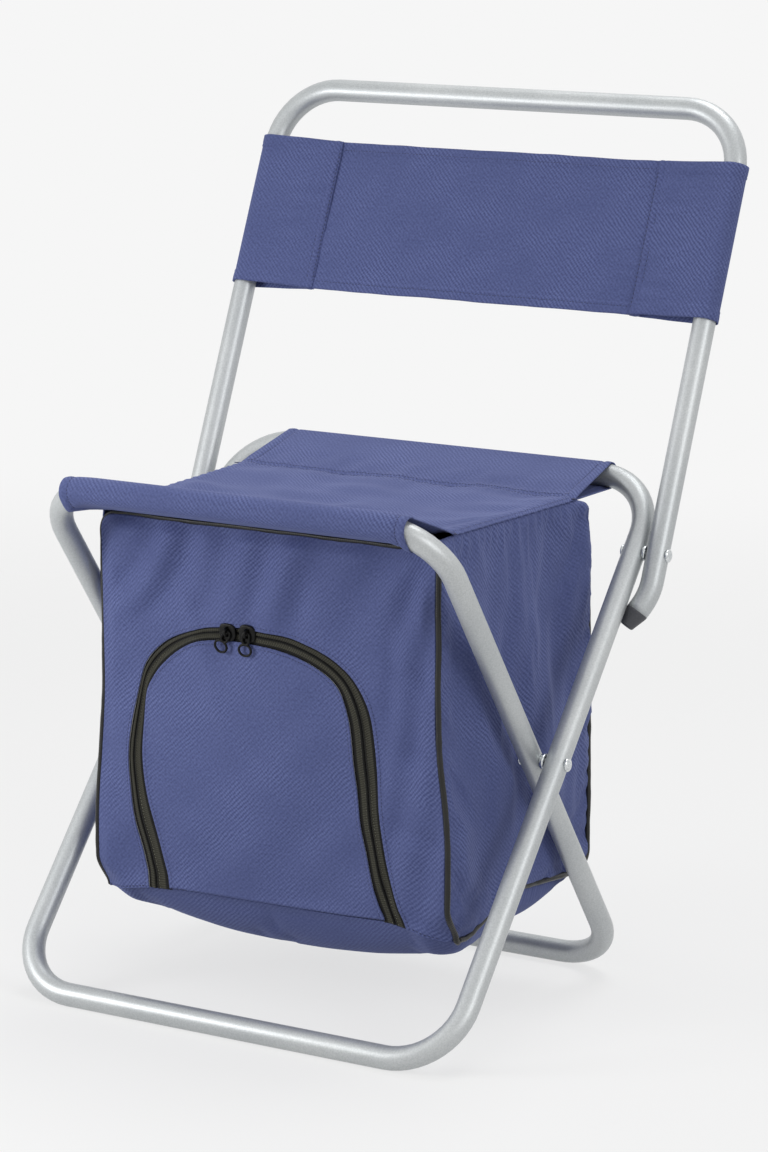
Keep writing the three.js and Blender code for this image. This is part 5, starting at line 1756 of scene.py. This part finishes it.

# %% [markdown]
# ## Foam and foil inside
# Behind the cloth are 3 mm foam boards and the foil lining. They show only when the flap is open, at the
# mouth's edge and inside. The front's and the flap's layers use the same grids as their cloth, pushed
# inwards. The body's lining is one rounded box, drawn as a rounded rectangle carried from front to back;
# nothing here folds it with the bag. Its foam and foil are two sheets 0.8 mm apart, and the foam's
# thickness lies outside its sheet. A modifier gives the thickness, so it keeps its full size when the bag
# folds flat: then the foam shows through the bag's back.

# %% Inner layers
def inner_box(inset, front, rear, rows=60, sides=160, seed=91):
    """A rounded rectangle carried back and closed at its rear; its walls are lightly crumpled."""
    a = np.linspace(0.0, 2 * math.pi, sides + 1)[None, :]
    power = 7.0
    r = (np.abs(np.cos(a)) ** power + np.abs(np.sin(a)) ** power) ** (-1.0 / power)
    half_x, half_z = bag_half - inset, (bag_height - 2 * inset) / 2
    y = np.concatenate([np.linspace(front, rear, rows), np.full(8, rear)])[:, None]
    size = np.concatenate([np.full(rows, 1.0), np.linspace(1.0, 0.0, 9)[1:]])[:, None]
    bend = np.sin(math.pi * np.clip((y - front) / (rear - front), 0, 1)) ** 0.35
    crumple = 0.8 * waves(a * 90.0, y, 24.0, seed) * smooth((y - front) / 12.0)
    x = (half_x * r + crumple - 4.5 * bend) * np.cos(a) * size
    z = -bag_height / 2 + (half_z * r + crumple) * np.sin(a) * size
    past = np.clip(y - (rear - top_radius), 0.0, top_radius) + 0.0 * z
    z = z - fall(np.full_like(past, top_radius), past * 0.999) * smooth((z + 90.0) / 80.0)
    return bag_point(x, y + 0.9 * waves(x, z, 40.0, seed + 1) * (size < 0.99), z)


foil_box = surface("foil_lining_body", [inner_box(9.8, 6.5, bag_depth - 9.8)])
thicken(foil_box, 0.3, offset=1.0)
finish(foil_box, foil, "inner_frame", "foil_liner", slot="foil_lining")
collapses(foil_box)
foam_box = surface("foam_body", [inner_box(9.0, 6.5, bag_depth - 9.0)], flip=True)
thicken(foam_box, 2.4, offset=1.0)
boards = [f"insulation_{place}" for place in ("left", "right", "back", "bottom", "top")]
finish(foam_box, foam, "inner_frame", *boards, slot="foam_board")
collapses(foam_box)


def backing(name, front, depth, thickness, material, node, slot):
    """A layer behind the front: the same grid moved back, and drawn in by up to 4 mm at its left and
    right."""
    grid, body, flip = front
    inside = grid - np.sign(grid[..., :1]) * 4.0 * smooth((np.abs(grid[..., :1]) - 116.0) / 16.0) * across
    piece = surface(name, [inside + bag_back * depth], flip=flip)
    thicken(piece, thickness)
    return finish(piece, material, body, *node, slot=slot)


panel_side = panel_grid, "inner_frame", True
flap_side = flap_grid, "flap", False
front_foam = backing("foam_front", panel_side, 2.3, 2.6, foam, ["insulation_front"], "foam_board")
flap_foam = backing("foam_flap", flap_side, 2.3, 2.6, foam, ["insulation_flap"], "foam_board")
backing("foil_lining_front", panel_side, 4.1, 0.3, foil, [], "foil_lining")
backing("foil_lining_flap", flap_side, 4.1, 0.3, foil, ["foil_flap"], "foil_lining")
print("inner pieces:", 6)
